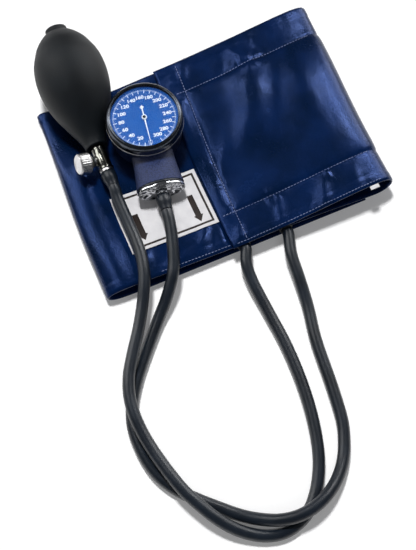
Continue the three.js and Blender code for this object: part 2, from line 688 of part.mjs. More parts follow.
// Lower movement plate with ears for its pillars and two bearings for the rocker
const pillarTurns = [100, 250, 340];
function onCircle(radius, turn) {
  return [radius * Math.cos(degrees(turn)), radius * Math.sin(degrees(turn))];
}
const bearingWidth = 1.6;
const bearingXs = [pivotX + 3.2, shaftTo - bearingWidth - 0.6];
const plateBottom = lowerPlateZ;
const plateTop = lowerPlateZ + plateThickness;
const bearings = bearingXs.map((x) => block([x, x + bearingWidth], [-rockerArm - 2.2, -rockerArm + 2.2],
  [rockerZ - 1.8, plateBottom + 0.4]));
const ears = pillarTurns.map((turn) => {
  const ear = block([lowerPlateRadius - 2, pillarCircle + 2], [-2.4, 2.4], [plateBottom, plateTop]);
  return ear.rotateZ(degrees(turn));
});
add('movement_plate', cut(
  join(disc(lowerPlateRadius, plateBottom, plateTop), ...ears, ...bearings),
  rod(rockerRadius + gap, [bearingXs[0] - 2, -rockerArm, rockerZ], [shaftTo + 2, -rockerArm, rockerZ]),
  block([bladeX - 1.2, bladeX + 1.2], [-rockerArm - 1, -rockerArm + bladeFaceY + 1.8], [plateBottom - 1, plateTop + 1]),
  disc(arborRadius + gap, plateBottom - 1, plateTop + 1, smallFacets),
  disc(sectorArborRadius + gap, plateBottom - 1, plateTop + 1, smallFacets).translate(pivotX, pivotY, 0),
), brass, gauge);
pillarTurns.forEach((turn, i) => {
  const [x, y] = onCircle(pillarCircle, turn);
  add(`movement_pillar_${i + 1}`, disc(platePillarRadius, floorTop + gap, plateBottom - gap, smallFacets)
    .translate(x, y, 0), brass, gauge);
});

// Upper movement plate on three short pillars of its own, clear of the sector
const bridgeTurns = [20, 100, 300];
const bridgePillars = bridgeTurns.map((turn) => {
  const [x, y] = onCircle(bridgePillarCircle, turn);
  return disc(platePillarRadius, plateTop + gap, upperPlateZ + 0.2, smallFacets).translate(x, y, 0);
});
add('movement_bridge', cut(
  join(disc(upperPlateRadius, upperPlateZ, upperPlateZ + 0.8), ...bridgePillars),
  disc(arborRadius + gap, upperPlateZ - 1, upperPlateZ + 2, smallFacets),
), brass, gauge);

// Hairspring: a flat spiral between the bridge and the dial
const springSteps = hairspringTurns * 16;
const spiralFrom = arborRadius + 0.9;
const spiral = (radius, i) => {
  const turn = (2 * Math.PI * hairspringTurns * i) / springSteps;
  const r = radius + (hairspringPitch * turn) / (2 * Math.PI);
  return [r * Math.cos(turn), r * Math.sin(turn)];
};
const spiralInside = Array.from({ length: springSteps + 1 }, (_, i) => spiral(spiralFrom, i));
const spiralOutside = Array.from({ length: springSteps + 1 }, (_, i) => spiral(spiralFrom + hairspringStrip, i));
add('hairspring', extruded([...spiralOutside, ...spiralInside.reverse()], 0.5)
  .translate(0, 0, upperPlateZ + 0.8 + gap), steel, gauge);

// Push rod on the capsule, capsule with ripples and its inlet, and the block that feeds it
const footZ = floorTop + gap;
const footHeight = 2;
const capsuleZ = footZ + footHeight + gap;
const capsuleTop = capsuleZ + capsuleHeight;
add('push_rod', turned([[0, capsuleTop + gap], [pushRodFoot, capsuleTop + gap], [pushRodFoot, capsuleTop + gap + 0.8],
  [pushRodRadius, capsuleTop + gap + 0.8], [pushRodRadius, rockerZ - rockerStrip / 2 - gap],
  [0, rockerZ - rockerStrip / 2 - gap]], smallFacets), steel, gauge);

const capsuleMiddle = capsuleZ + capsuleHeight / 2;
const ripples = 3;
function rippledFace(wall, side) {
  const points = [];
  for (let i = 0; i <= ripples * 2; i += 1) {
    const share = i / (ripples * 2);
    const radius = pushRodFoot + (capsuleRadius - 1.6 - pushRodFoot) * share;
    const height = capsuleHeight / 2 - (capsuleHeight / 2 - capsuleRim) * share - (i % 2) * 0.6;
    points.push([radius, capsuleMiddle + side * (height - wall)]);
  }
  return points;
}
const inletRadius = 1.6;
add('diaphragm_capsule', turned([
  [0, capsuleTop], ...rippledFace(0, 1), [capsuleRadius, capsuleMiddle + 0.6], [capsuleRadius, capsuleMiddle - 0.6],
  ...rippledFace(0, -1).reverse(), [inletRadius, capsuleZ], [inletRadius, capsuleZ + capsuleWall],
  ...rippledFace(capsuleWall, -1), ...rippledFace(capsuleWall, 1).reverse(), [0, capsuleTop - capsuleWall],
]), brass, gauge);

const feedY = -caseInner + 2.6;
const feedZ = footZ + footHeight / 2;
const feedBore = 0.7;
add('pressure_block', cut(
  join(
    block([-3, 3], [-caseInner + 1, -capsuleRadius - 1], [footZ, stemHeight + 3]),
    block([-3, 3], [-capsuleRadius - 1.2, 3], [footZ, footZ + footHeight]),
  ),
  rod(feedBore, [0, -caseInner - 1, stemHeight], [0, feedY + feedBore, stemHeight], 8),
  rod(feedBore, [0, feedY, stemHeight], [0, feedY, feedZ], 8),
  rod(feedBore, [0, feedY - feedBore, feedZ], [0, 0, feedZ], 8),
  rod(feedBore, [0, 0, feedZ], [0, 0, footZ + footHeight + 1], 8),
), brass, gauge);

// Neck: a hollow bell from the case wall to the base, wider and rounder toward the base
function bell(shrink, fromY, toY, steps) {
  const rings = [];
  for (let i = 0; i <= steps; i += 1) {
    const share = i / steps;
    const y = fromY + (toY - fromY) * share;
    const flare = share ** 2.2;
    const wide = neckHalfWidth + (baseHalfWidth - neckHalfWidth) * flare - shrink;
    const high = neckHalfHeight + (baseHalfHeight - neckHalfHeight) * share ** 1.5 - shrink;
    const middle = stemHeight + neckRise * (1 - share) ** 2;
    const circle = [];
    for (let k = 0; k < roundFacets; k += 1) {
      const turn = (2 * Math.PI * k) / roundFacets;
      circle.push(new THREE.Vector3(wide * Math.cos(turn), y, middle + high * Math.sin(turn)));
    }
    rings.push(circle);
  }
  return skinOfRings(rings, false);
}
const neckEnd = -stemLength + baseThickness + 2 * gap + 0.8;
const neckFrom = -caseRadius + 6;
add('neck_bell', cut(
  bell(0, neckFrom, neckEnd, 8),
  bell(neckWall, neckFrom + 1, neckEnd - 1, 6),
  disc(caseRadius + gap, caseBottom - 4, bezelTop + 4),
  disc(bezelRadius + gap, bezelTop - bezelHeight - gap, bezelTop + 4),
), crinkleEnamel, gauge);

// Pieces about the stem: turned about +Z, then laid along -Y
function alongStem(geometry) {
  return geometry.rotateX(Math.PI / 2).translate(0, 0, stemHeight);
}
function oval(geometry) {
  return geometry.scale(1, baseHalfHeight / baseHalfWidth, 1);
}
const sealZ = -neckEnd + gap;
const seal = ring(baseHalfWidth - neckWall - 1.6, baseHalfWidth - 0.6, sealZ, sealZ + 0.8);
add('neck_seal', alongStem(oval(seal)), hoseRubber, gauge);
const capZ = stemLength - baseThickness;
const hubRadius = 6.5;
const rimWidth = 2.2;
const dishedCap = turned([
  [0, capZ], [baseHalfWidth - 0.5, capZ], [baseHalfWidth, capZ + 0.6], [baseHalfWidth, stemLength - 0.6],
  [baseHalfWidth - 0.6, stemLength], [baseHalfWidth - rimWidth, stemLength - 0.1],
  [baseHalfWidth - rimWidth - 1.2, stemLength - 1.2], [0, stemLength - 1.2]]);
add('base_cap', alongStem(cut(
  join(oval(dishedCap), disc(hubRadius, capZ + 0.2, stemLength)),
  disc(barbRadius + gap, capZ - 1, stemLength + 1),
)), chrome, gauge);
const tubeEnd = stemLength - baseThickness - gap;
add('stem_tube', alongStem(ring(stemBore, stemTubeRadius, caseInner - 1 + gap, tubeEnd, smallFacets)), brass, gauge);
const nutZ = stemLength + gap;
const nutCorners = Array.from({ length: 6 }, (_, k) => onCircle(barbNutAcross / Math.sqrt(3), 60 * k));
const nut = extruded(nutCorners, barbNutLength);
const barbEnd = nutZ + barbNutLength + barbLength;
add('hose_barb', alongStem(cut(
  join(
    nut.translate(0, 0, nutZ),
    turned([[0, capZ + 0.4], [barbRadius, capZ + 0.4], [barbRadius, barbEnd - 5], [barbRadius + 0.4, barbEnd - 4.5],
      [barbRadius - 0.5, barbEnd], [0, barbEnd]], smallFacets),
  ),
  disc(stemBore, capZ - 1, barbEnd + 1, smallFacets),
)), chrome, gauge);

// Hose sleeve: a moulded rubber end that grips a barb and tapers to the hose
function sleeve(z0) {
  const outer = sleeveDiameter / 2;
  const inner = hoseDiameter / 2;
  const bore = barbRadius + 0.4 + gap;
  return turned([[bore, z0], [outer - 0.4, z0], [outer, z0 + 0.6], [outer - 0.1, z0 + sleeveLength * 0.4],
    [inner + 0.7, z0 + sleeveLength * 0.7], [inner + 0.1, z0 + sleeveLength], [sleeveBore, z0 + sleeveLength],
    [bore, z0 + sleeveLength * 0.9], [bore, z0]], 20);
}
const gaugeSleeveZ = nutZ + barbNutLength + gap;
add('gauge_hose_sleeve', alongStem(sleeve(gaugeSleeveZ)), hoseRubber, gauge);

// Spring clip under the case with its two rivets
const clipTop = caseBottom - gap;
const clipBottom = clipTop - clipDrop;
const bend = clipDrop / 2;
const clipOutline = [];
for (let i = 0; i <= 6; i += 1) {
  const turn = degrees(90 - 30 * i);
  clipOutline.push([clipLength / 2 + bend * Math.cos(turn), clipTop - bend + bend * Math.sin(turn)]);
}
for (let i = 6; i >= 0; i -= 1) {
  const turn = degrees(90 - 30 * i);
  const inside = bend - clipThickness;
  clipOutline.push([clipLength / 2 + inside * Math.cos(turn), clipTop - bend + inside * Math.sin(turn)]);
}
const clipProfile = [
  [-clipLength / 2, clipTop], ...clipOutline.slice(0, 7), [-clipLength / 2, clipBottom],
  [-clipLength / 2 - 2, clipBottom + 1.2], [-clipLength / 2 - 2, clipBottom + 1.2 + clipThickness],
  [-clipLength / 2, clipBottom + clipThickness], ...clipOutline.slice(7), [-clipLength / 2, clipTop - clipThickness]];
const clip = extruded(clipProfile, clipWidth);
clip.applyMatrix4(new THREE.Matrix4().makeBasis(
  new THREE.Vector3(0, 1, 0), new THREE.Vector3(0, 0, 1), new THREE.Vector3(1, 0, 0)));
add('back_clip', clip.translate(-clipWidth / 2, 0, 0), steel, gauge);
[-1, 1].forEach((side, i) => {
  const head = clipTop - clipThickness - gap;
  const rivet = turned([[0, head - rivetHead], [rivetRadius * 0.6, head - rivetHead], [rivetRadius, head - 0.2],
    [rivetRadius, head], [0, head]], smallFacets);
  add(`clip_rivet_${i + 1}`, rivet.translate(0, (side * clipLength) / 4, 0), steel, gauge);
});

// Bulb: a swept shell with a collar at one end and a neck that bends toward the valve.
// Each entry: distance from the collar's face, outer radius.
const bulbProfile = [
  [0, 7.2], [0.8, 7.9], [3.6, 7.9], [4.6, 10], [8.2, 14.2], [13.2, 18.4], [18.8, 21.4], [25.4, 24.2], [33, 25.7],
  [40.4, 26.1], [48, 25.6], [56.4, 24], [64.8, 21.2], [72.2, 17.8], [78.6, 14], [83.4, 11.2], [88, 9.2], [91.6, 8.4],
  [94, 8.3]];
const bulbAxisStart = new THREE.Vector3(...bulbStart);
const bulbAxisEnd = new THREE.Vector3(...bulbMouth);
const valveDirection = new THREE.Vector3(Math.sin(degrees(valveTurn)), -Math.cos(degrees(valveTurn)), 0);
const bulbAxis = bulbAxisEnd.clone().addScaledVector(valveDirection, -12).sub(bulbAxisStart).normalize();
const bulbLength = bulbProfile[bulbProfile.length - 1][0];
const bendStart = bulbLength - 20;
const bulbCurve = new THREE.CubicBezierCurve3(
  bulbAxisStart.clone().addScaledVector(bulbAxis, bendStart),
  bulbAxisStart.clone().addScaledVector(bulbAxis, bendStart + 8),
  bulbAxisEnd.clone().addScaledVector(valveDirection, -7),
  bulbAxisEnd,
);
function bulbCentre(distance) {
  if (distance <= bendStart) return bulbAxisStart.clone().addScaledVector(bulbAxis, distance);
  return bulbCurve.getPointAt(Math.min((distance - bendStart) / (bulbLength - bendStart), 1));
}
const bulbOutside = circlesAlong(bulbProfile.map(([d]) => bulbCentre(d)), bulbProfile.map(([, r]) => r), 28);
const bulbInsideProfile = [
  [0, collarBore + gap], [6.5, collarBore + gap], [8, 9], [13.2, 15.4], [25.4, 24.2 - bulbWall],
  [40.4, 26.1 - bulbWall], [56.4, 24 - bulbWall], [72.2, 17.8 - bulbWall], [79.4, 9],
  [82.6, bulbNeckBore], [94, bulbNeckBore]];
const bulbInside = circlesAlong(bulbInsideProfile.map(([d]) => bulbCentre(d)), bulbInsideProfile.map(([, r]) => r), 28);
add('bulb', skinOfRings([...bulbOutside, ...bulbInside.reverse()], true), bulbRubber);

// Inlet check valve in the collar: turned about +Z, then laid along the bulb's axis
const inlet = new THREE.Group();
inlet.position.copy(bulbAxisStart);
inlet.quaternion.setFromUnitVectors(new THREE.Vector3(0, 0, 1), bulbAxis);
layout.add(inlet);
const inletSeat = 1.1;
const inletFrom = 1;
add('inlet_valve_body', turned([
  [inletRecess, inletFrom], [collarBore, inletFrom], [collarBore, inletLength - 1], [collarBore - 0.6, inletLength],
  [inletSeat, inletLength], [inletSeat, inletLength - 1], [inletBore, inletLength - 1.6], [inletBore, 4.4],
  [inletSeat, 3.4], [inletSeat, 2.4], [inletRecess, 2.4]], 20), chrome, inlet);
const screenHoles = [[0, 0, screenHole]];
for (let k = 0; k < 6; k += 1) screenHoles.push([...onCircle(1.9, 60 * k), screenHole]);
const screenDisc = Array.from({ length: 20 }, (_, k) => onCircle(inletRecess - gap, 18 * k));
const screenShape = new THREE.Shape(screenDisc.map(([x, y]) => new THREE.Vector2(x, y)));
screenHoles.forEach(([x, y, radius]) => {
  const hole = new THREE.Path();
  hole.absarc(x, y, radius, 0, 2 * Math.PI, true);
  screenShape.holes.push(hole);
});
add('inlet_screen', new THREE.ExtrudeGeometry(screenShape, {
  depth: screenThickness, bevelEnabled: false, curveSegments: 3,
}).translate(0, 0, inletFrom + 0.5), steel, inlet);
const inletBallZ = 6.2;
// Two check balls: the inlet's has dropped to the inner end of its chamber
add('inlet_ball', new THREE.SphereGeometry(checkBall, 12, 8).translate(0, 0, inletBallZ), steel, inlet);

// Release valve: its own +Z runs from the bulb to the hose, its +X to the knob
const valve = new THREE.Group();
const knobDirection = new THREE.Vector3(valveDirection.y, -valveDirection.x, 0)
  .multiplyScalar(Math.cos(degrees(knobTilt)))
  .add(new THREE.Vector3(0, 0, Math.sin(degrees(knobTilt))));
const valveSide = valveDirection.clone().cross(knobDirection);
valve.quaternion.setFromRotationMatrix(new THREE.Matrix4().makeBasis(knobDirection, valveSide, valveDirection));
valve.position.copy(bulbAxisEnd).addScaledVector(valveDirection, gap);
layout.add(valve);

const spigotBore = 1.3;
const barbSeat = knobPlace + screwRadius + 2 * gap;
function towardKnob(geometry) {
  return geometry.rotateY(Math.PI / 2).translate(0, 0, knobPlace);
}
add('valve_body', cut(
  join(
    turned([[0, -valveSpigotLength], [valveSpigot - 0.6, -valveSpigotLength], [valveSpigot, -valveSpigotLength + 2],
      [valveSpigot, 0], [valveRadius - 0.7, 0], [valveRadius, 0.7],
      [valveRadius, valveLength - valveFlangeLength - 0.8],
      [valveFlange, valveLength - valveFlangeLength], [valveFlange, valveLength], [0, valveLength]], 24),
    towardKnob(disc(knobBossRadius, 0, knobBossReach, 20)),
  ),
  disc(spigotBore, -valveSpigotLength - 1, outletSeat + 1, smallFacets),
  disc(valveBore, outletSeat, valveLength + 1, smallFacets),
  disc(valveThread + gap, barbSeat - gap, valveLength + 1, smallFacets),
  towardKnob(disc(screwRadius + gap, 0, knobBossReach + 1, smallFacets)),
), chrome, valve);

const outletBallZ = outletSeat + checkBall + gap;
add('outlet_ball', new THREE.SphereGeometry(checkBall, 12, 8).translate(0, 0, outletBallZ), steel, valve);

// Hose barb screwed into the valve's lower end; its face is the spring's seat
const barbCollarZ = valveLength + gap;
const barbCollar = 1.8;
const valveBarbEnd = barbCollarZ + barbCollar + barbLength;
const springZ = barbSeat - gap - springLength;
const springOuter = 1.6;
add('valve_barb', turned([
  [stemBore, barbSeat], [valveThread, barbSeat], [valveThread, barbCollarZ], [valveRadius, barbCollarZ],
  [valveRadius, barbCollarZ + barbCollar], [barbRadius, barbCollarZ + barbCollar], [barbRadius, valveBarbEnd - 5],
  [barbRadius + 0.4, valveBarbEnd - 4.5], [barbRadius - 0.5, valveBarbEnd], [stemBore, valveBarbEnd]], 20),
satinChrome, valve);

const coilSteps = springTurns * 10;
const coilPoints = Array.from({ length: coilSteps + 1 }, (_, i) => {
  const turn = (2 * Math.PI * i) / 10;
  const radius = springOuter - springWire - 0.1;
  return new THREE.Vector3(radius * Math.cos(turn), radius * Math.sin(turn),
    springZ + springWire + ((springLength - 2 * springWire) * i) / coilSteps);
});
add('outlet_spring', skinOfRings(circlesAlong(coilPoints, coilPoints.map(() => springWire), 5), false), steel, valve);

const valveSleeveZ = barbCollarZ + barbCollar + gap;
add('bulb_hose_sleeve', sleeve(valveSleeveZ), hoseRubber, valve);

// Release screw: a washer that only moves along the screw, and the knob that also turns
const washerX = knobBossReach + gap;
const washer = ring(screwRadius + gap, knobBossRadius, washerX, washerX + washerThickness, smallFacets);
add('release_washer', towardKnob(washer), steel, valve);
const knobX = washerX + washerThickness + gap;
const knurled = [];
for (let k = 0; k < knobKnurls * 2; k += 1) {
  knurled.push(onCircle(knobRadius - (k % 2) * knurlDepth, (180 * k) / knobKnurls));
}
const knobCone = 3;
add('release_knob', towardKnob(join(
  extruded(knurled, knobLength - 1.2).translate(0, 0, knobX + knobCone),
  turned([[0, knobX], [3.2, knobX], [knobRadius - 0.7, knobX + knobCone], [knobRadius - 0.7, knobX + knobCone + 0.4],
    [0, knobX + knobCone + 0.4]], roundFacets),
  turned([[0, knobX + knobCone + knobLength - 1.6], [knobRadius - 0.6, knobX + knobCone + knobLength - 1.6],
    [knobRadius - 1, knobX + knobCone + knobLength - 0.8], [0, knobX + knobCone + knobLength - 0.8]], roundFacets),
  turned([[0, 2.2], [screwRadius * 0.4, 2.2], [screwRadius, 3.4], [screwRadius, knobX + 0.4],
    [0, knobX + 0.4]], smallFacets),
)), satinChrome, valve);

// Hoses run from the end of a sleeve to the end of a bladder port
const straightEnd = 3;
const origin = new THREE.Vector3();
const stemCentre = new THREE.Vector3(0, 0, stemHeight);
function hose(name, holder, outward, from, route, portSpot) {
  const span = spanAt(portSpot, ...middleLayer);
  const starts = [from + gap, from + gap + straightEnd].map((reach) => (
    holder.localToWorld(outward.clone().multiplyScalar(reach).add(holder === gauge ? stemCentre : origin))));
  const ends = [straightEnd, 0].map((reach) => clothPoint(span, portAcross[0] - gap - reach, 0));
  const points = [...starts, ...route.map((p) => new THREE.Vector3(...p)), ...ends];
  const curve = new THREE.CatmullRomCurve3(points, false, 'centripetal');
  const section = new THREE.Shape();
  for (let k = 0; k < hoseSides; k += 1) {
    const point = onCircle(hoseDiameter / 2, (360 * k) / hoseSides);
    if (k === 0) section.moveTo(...point);
    else section.lineTo(...point);
  }
  return add(name, new THREE.ExtrudeGeometry(section, { extrudePath: curve, steps: 36, curveSegments: 1 }), hoseRubber);
}
layout.updateMatrixWorld(true);
hose('hose_bulb', valve, new THREE.Vector3(0, 0, 1), valveSleeveZ + sleeveLength, bulbHoseRoute, portSpots[0]);
hose('hose_gauge', gauge, new THREE.Vector3(0, -1, 0), gaugeSleeveZ + sleeveLength, gaugeHoseRoute, portSpots[1]);

// The object without its hoses is centred over the origin
layout.updateMatrixWorld(true);
const extent = new THREE.Box3();
layout.traverse((node) => {
  const isHose = node.name === 'hose_bulb' || node.name === 'hose_gauge';
  if (node.isMesh && !isHose) extent.expandByObject(node, true);
});
const centre = extent.getCenter(new THREE.Vector3());
layout.position.set(-centre.x, -centre.y, 0);

const sphygmomanometer = new THREE.Group();
sphygmomanometer.add(layout);
export default sphygmomanometer;
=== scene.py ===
# Aneroid blood pressure set laid out on a white table: folded nylon cuff, rubber bulb with its
# release valve, bell-shaped gauge and two hoses. Sizes are in millimetres, in the drawing's own
# frame; mm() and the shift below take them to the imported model's metres.
import math
from functools import partial

import bpy
import numpy as np
from mathutils import Matrix, Vector, noise


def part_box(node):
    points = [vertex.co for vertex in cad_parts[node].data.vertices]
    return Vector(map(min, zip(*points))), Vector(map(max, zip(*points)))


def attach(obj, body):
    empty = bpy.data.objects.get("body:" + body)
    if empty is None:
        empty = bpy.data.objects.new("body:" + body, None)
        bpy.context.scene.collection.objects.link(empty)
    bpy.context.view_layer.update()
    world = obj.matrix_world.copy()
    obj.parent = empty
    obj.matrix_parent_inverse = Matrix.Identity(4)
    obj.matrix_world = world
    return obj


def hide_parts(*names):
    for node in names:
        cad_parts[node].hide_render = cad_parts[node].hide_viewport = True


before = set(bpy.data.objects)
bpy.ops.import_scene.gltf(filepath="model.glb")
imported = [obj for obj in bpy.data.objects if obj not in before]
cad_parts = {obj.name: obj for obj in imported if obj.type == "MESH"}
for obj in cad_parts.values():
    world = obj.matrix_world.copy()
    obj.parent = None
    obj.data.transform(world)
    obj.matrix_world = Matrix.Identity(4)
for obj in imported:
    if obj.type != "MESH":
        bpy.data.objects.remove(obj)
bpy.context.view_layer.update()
print("packed model loaded")


def mm(value):
    return value / 1000


gauge = {
    "x": -46.7, "y": 5.2, "turn": 14.2, "stem": 22.69,  # stem: height of the neck's axis
    "bezel": 27.6, "bezelHeight": 9.1, "bezelTop": 45.7, "dialTop": 41.3,
    "length": 50,  # from the pointer's axis to the base
    "neckFrom": 19.8, "neckTo": 45.6, "neckWide": 15, "neckHigh": 8.5, "neckRise": 3, "neckWall": 1.6,
    "neckFlare": (2.2, 1.5),  # powers by which its width and its height open
    "baseWide": 17.2, "baseHigh": 11.5,
}
crystalLow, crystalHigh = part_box("crystal")
shift = Vector((
    (crystalLow[0] + crystalHigh[0]) / 2 - mm(gauge["x"]),
    (crystalLow[1] + crystalHigh[1]) / 2 - mm(gauge["y"]),
    0,
))


def place(x, y, z):
    return Vector((mm(x), mm(y), mm(z))) + shift


def addObject(name, data):
    item = bpy.data.objects.new(name, data)
    bpy.context.scene.collection.objects.link(item)
    return item


camera = {"lookDown": 69, "target": (-2, -97, 0), "distance": 774.6, "lens": 72, "sensor": 36}
lookDown = math.radians(camera["lookDown"])
cameraData = bpy.data.cameras.new("camera")
cameraData.lens = camera["lens"]
cameraData.sensor_width = camera["sensor"]
cameraObject = addObject("camera", cameraData)
backward = Vector((0, -math.cos(lookDown), math.sin(lookDown)))
cameraObject.location = place(*camera["target"]) + mm(camera["distance"]) * backward
cameraObject.rotation_euler = (math.radians(90) - lookDown, 0, 0)
bpy.context.scene.camera = cameraObject
bpy.context.scene.view_settings.view_transform = "Standard"


def linear(colour):
    parts = [int(colour[i:i + 2], 16) / 255 for i in (1, 3, 5)]
    return [p / 12.92 if p <= 0.04045 else ((p + 0.055) / 1.055) ** 2.4 for p in parts] + [1]


# Sets sockets or links nodes into them; a colour is written as its hex value
def feed(node, inputs):
    for key, value in inputs.items():
        if isinstance(value, bpy.types.Node):
            value = value.outputs[0]
        if isinstance(value, bpy.types.NodeSocket):
            node.id_data.links.new(value, node.inputs[key])
        else:
            node.inputs[key].default_value = linear(value) if isinstance(value, str) else value


def addNode(tree, kind, inputs=None, stops=(), **settings):
    node = tree.nodes.new("ShaderNode" + kind)
    for key, value in settings.items():
        setattr(node, key, value)
    if stops:
        elements = node.color_ramp.elements
        while len(elements) < len(stops):
            elements.new(0.5)
        for element, (position, colour) in zip(elements, stops):
            element.position = position
            element.color = linear(colour)
    feed(node, inputs or {})
    return node


finishes = {}


# Makes a slot's material, and gives what adds a node to it, its shader, and the place on the piece
# that its textures follow
def newMaterial(slotName, name, constants, space="Object"):
    finish = finishes[slotName] = bpy.data.materials.new(name)
    finish.use_nodes = True
    finish.node_tree.nodes.clear()
    add = partial(addNode, finish.node_tree)
    shader = add("BsdfPrincipled", constants)
    add("OutputMaterial", {"Surface": shader})
    return add, shader, add("TexCoord").outputs[space]


# At scale 1 a wave texture has 20 / (2 pi) bands in a unit
def waveScale(spacing):
    return 2 * math.pi / (20 * spacing)


# Woven nylon with a satin face, coated on the back: deep navy face on, with a pale blue sheen where
# it turns to the light. The UV map is the flat cloth, 1 unit = 100 mm.
def wovenNylon():
    add, shader, flat = newMaterial("navy_nylon", "woven_satin_nylon", {
        "IOR": 1.53, "Specular Tint": "#7698ee"}, "UV")
    yarn = 0.9  # mm from yarn to yarn, drawn three times as coarse as it is so that it shows
    waves = {"Vector": flat, "Scale": waveScale(yarn / 100), "Distortion": 1.2, "Detail": 1}
    across = add("TexWave", waves)
    along = add("TexWave", waves, bands_direction="Y")
    weave = add("Math", {0: across.outputs["Fac"], 1: along.outputs["Fac"]}, operation="MAXIMUM")
    patches = add("TexNoise", {"Vector": flat, "Scale": 3.5, "Detail": 3})  # about 30 mm
    slubs = add("TexNoise", {"Vector": flat, "Scale": 95, "Detail": 2})  # uneven yarn, 1 mm
    mixed = add("Math", {0: slubs, 1: 0.35, 2: patches}, operation="MULTIPLY_ADD")
    colour = add("ValToRGB", {"Fac": mixed}, stops=[
        (0.5, "#02122c"), (0.68, "#031637"), (0.86, "#041b42")])
    roughness = add("MapRange", {"Value": patches, "From Min": 0.3, "From Max": 0.7,
                                 "To Min": 0.22, "To Max": 0.28})
    gleam = add("MapRange", {"Value": slubs, "From Min": 0.35, "From Max": 0.65,
                             "To Min": 0.25, "To Max": 0.9})
    drape = add("TexNoise", {"Vector": flat, "Scale": 9, "Detail": 2})  # soft unevenness, 11 mm
    soft = add("Bump", {"Height": drape, "Distance": 0.0008, "Strength": 0.3})
    slubbed = add("Bump", {"Height": slubs, "Distance": 0.0001, "Strength": 0.25, "Normal": soft})
    woven = add("Bump", {"Height": weave, "Distance": 0.0001, "Strength": 0.18, "Normal": slubbed})
    feed(shader, {"Base Color": colour, "Roughness": roughness, "Specular IOR Level": gleam, "Normal": woven})


wovenNylon()


# Hook and loop tape: knitted nylon pile, matt and slightly lighter than the cloth
def loopPile():
    add, shader, spot = newMaterial("navy_pile", "knitted_nylon_pile", {
        "Roughness": 0.9, "Sheen Weight": 0.3})
    pileSpacing = 1.1  # mm
    loops = add("TexVoronoi", {"Vector": spot, "Scale": 1000 / pileSpacing})
    colour = add("ValToRGB", {"Fac": loops}, stops=[(0.1, "#121d44"), (0.7, "#050a1e")])
    raised = add("Bump", {"Height": loops, "Distance": 0.0005, "Strength": 0.8})
    feed(shader, {"Base Color": colour, "Normal": raised})


loopPile()


# Rubber: the hoses are extruded and satin, the bulb is moulded with a fine skin, the bladder is
# sheet. Handling leaves the gloss uneven.
def rubber(slotName, name, dark, light, roughness, grainSize, gleam=0.5):
    add, shader, spot = newMaterial(slotName, name, {"IOR": 1.52, "Specular IOR Level": gleam})
    patches = add("TexNoise", {"Vector": spot, "Scale": 55, "Detail": 4})
    skin = add("TexNoise", {"Vector": spot, "Scale": 1000 / grainSize, "Detail": 3})
    colour = add("ValToRGB", {"Fac": patches}, stops=[(0.3, dark), (0.75, light)])
    gloss = add("MapRange", {"Value": patches, "From Min": 0.25, "From Max": 0.75,
                             "To Min": roughness - 0.04, "To Max": roughness + 0.05})
    grained = add("Bump", {"Height": skin, "Distance": 0.0002, "Strength": 0.35})
    feed(shader, {"Base Color": colour, "Roughness": gloss, "Normal": grained})


rubber("hose_rubber", "extruded_hose_rubber", "#0a1119", "#141d28", 0.4, 1.2, 0.6)
rubber("bulb_rubber", "moulded_bulb_rubber", "#070b0f", "#0c1217", 0.57, 0.8, 0.35)
rubber("bladder_rubber", "sheet_bladder_rubber", "#15181b", "#1f2226", 0.6, 0.6)


# Metal: chrome and nickel plate are bright with faint ripples; satin plate, brass, steel and the darkened
# chrome are duller and unevenly rubbed.
# The darkened chrome, on the bezel and the pivot cap, is chrome given a dark colour: a painted reflection of
# dark surroundings.
def metal(slotName, name, dark, light, roughness, wear, grainSize, depth):
    add, shader, spot = newMaterial(slotName, name, {"Metallic": 1.0})
    cloudy = add("TexNoise", {"Vector": spot, "Scale": 1000 / grainSize, "Detail": 4})
    colour = add("ValToRGB", {"Fac": cloudy}, stops=[(0.3, dark), (0.7, light)])
    gloss = add("MapRange", {"Value": cloudy, "From Min": 0.25, "From Max": 0.75,
                             "To Min": roughness, "To Max": roughness + wear})
    uneven = add("Bump", {"Height": cloudy, "Distance": depth, "Strength": 0.5})
    feed(shader, {"Base Color": colour, "Roughness": gloss, "Normal": uneven})


metal("chrome", "polished_chrome_plate", "#b9bbbe", "#dcdde0", 0.04, 0.07, 4, 0.00016)
metal("nickel", "bright_nickel_plate", "#73736c", "#8f8f88", 0.08, 0.1, 4, 0.00008)
metal("satin_chrome", "satin_chrome_plate", "#c9c8c8", "#e6e4e3", 0.22, 0.2, 0.6, 0.00004)
# Painted reflection: chrome given a dark grey colour in place of the dark surroundings that it mirrors
metal("dark_chrome", "black_chrome_plate", "#4b4f56", "#5d626a", 0.2, 0.08, 6, 0.00003)
metal("brass", "turned_brass", "#b08c44", "#d0aa5a", 0.25, 0.15, 1, 0.00003)
metal("steel", "ground_steel", "#8f9193", "#b4b6b8", 0.25, 0.15, 1, 0.00003)


# Stoved enamel: smooth on the case and the dial, crinkled into fine grains on the neck
def enamel(slotName, name, dark, light, roughness, grainSize, depth, coat=0.1, gleam=0.5):
    add, shader, spot = newMaterial(slotName, name, {
        "Roughness": roughness, "Specular IOR Level": gleam, "Coat Weight": coat, "Coat Roughness": 0.3})
    ridges = add("TexVoronoi", {"Vector": spot, "Scale": 1000 / grainSize}, feature="SMOOTH_F1")
    uneven = add("TexNoise", {"Vector": spot, "Scale": 1500 / grainSize, "Detail": 4})
    height = add("Math", {0: ridges, 1: uneven}, operation="ADD")
    colour = add("ValToRGB", {"Fac": height}, stops=[(0.55, dark), (0.9583, light)])
    crinkled = add("Bump", {"Height": height, "Distance": depth, "Strength": 0.7})
    feed(shader, {"Base Color": colour, "Normal": crinkled})


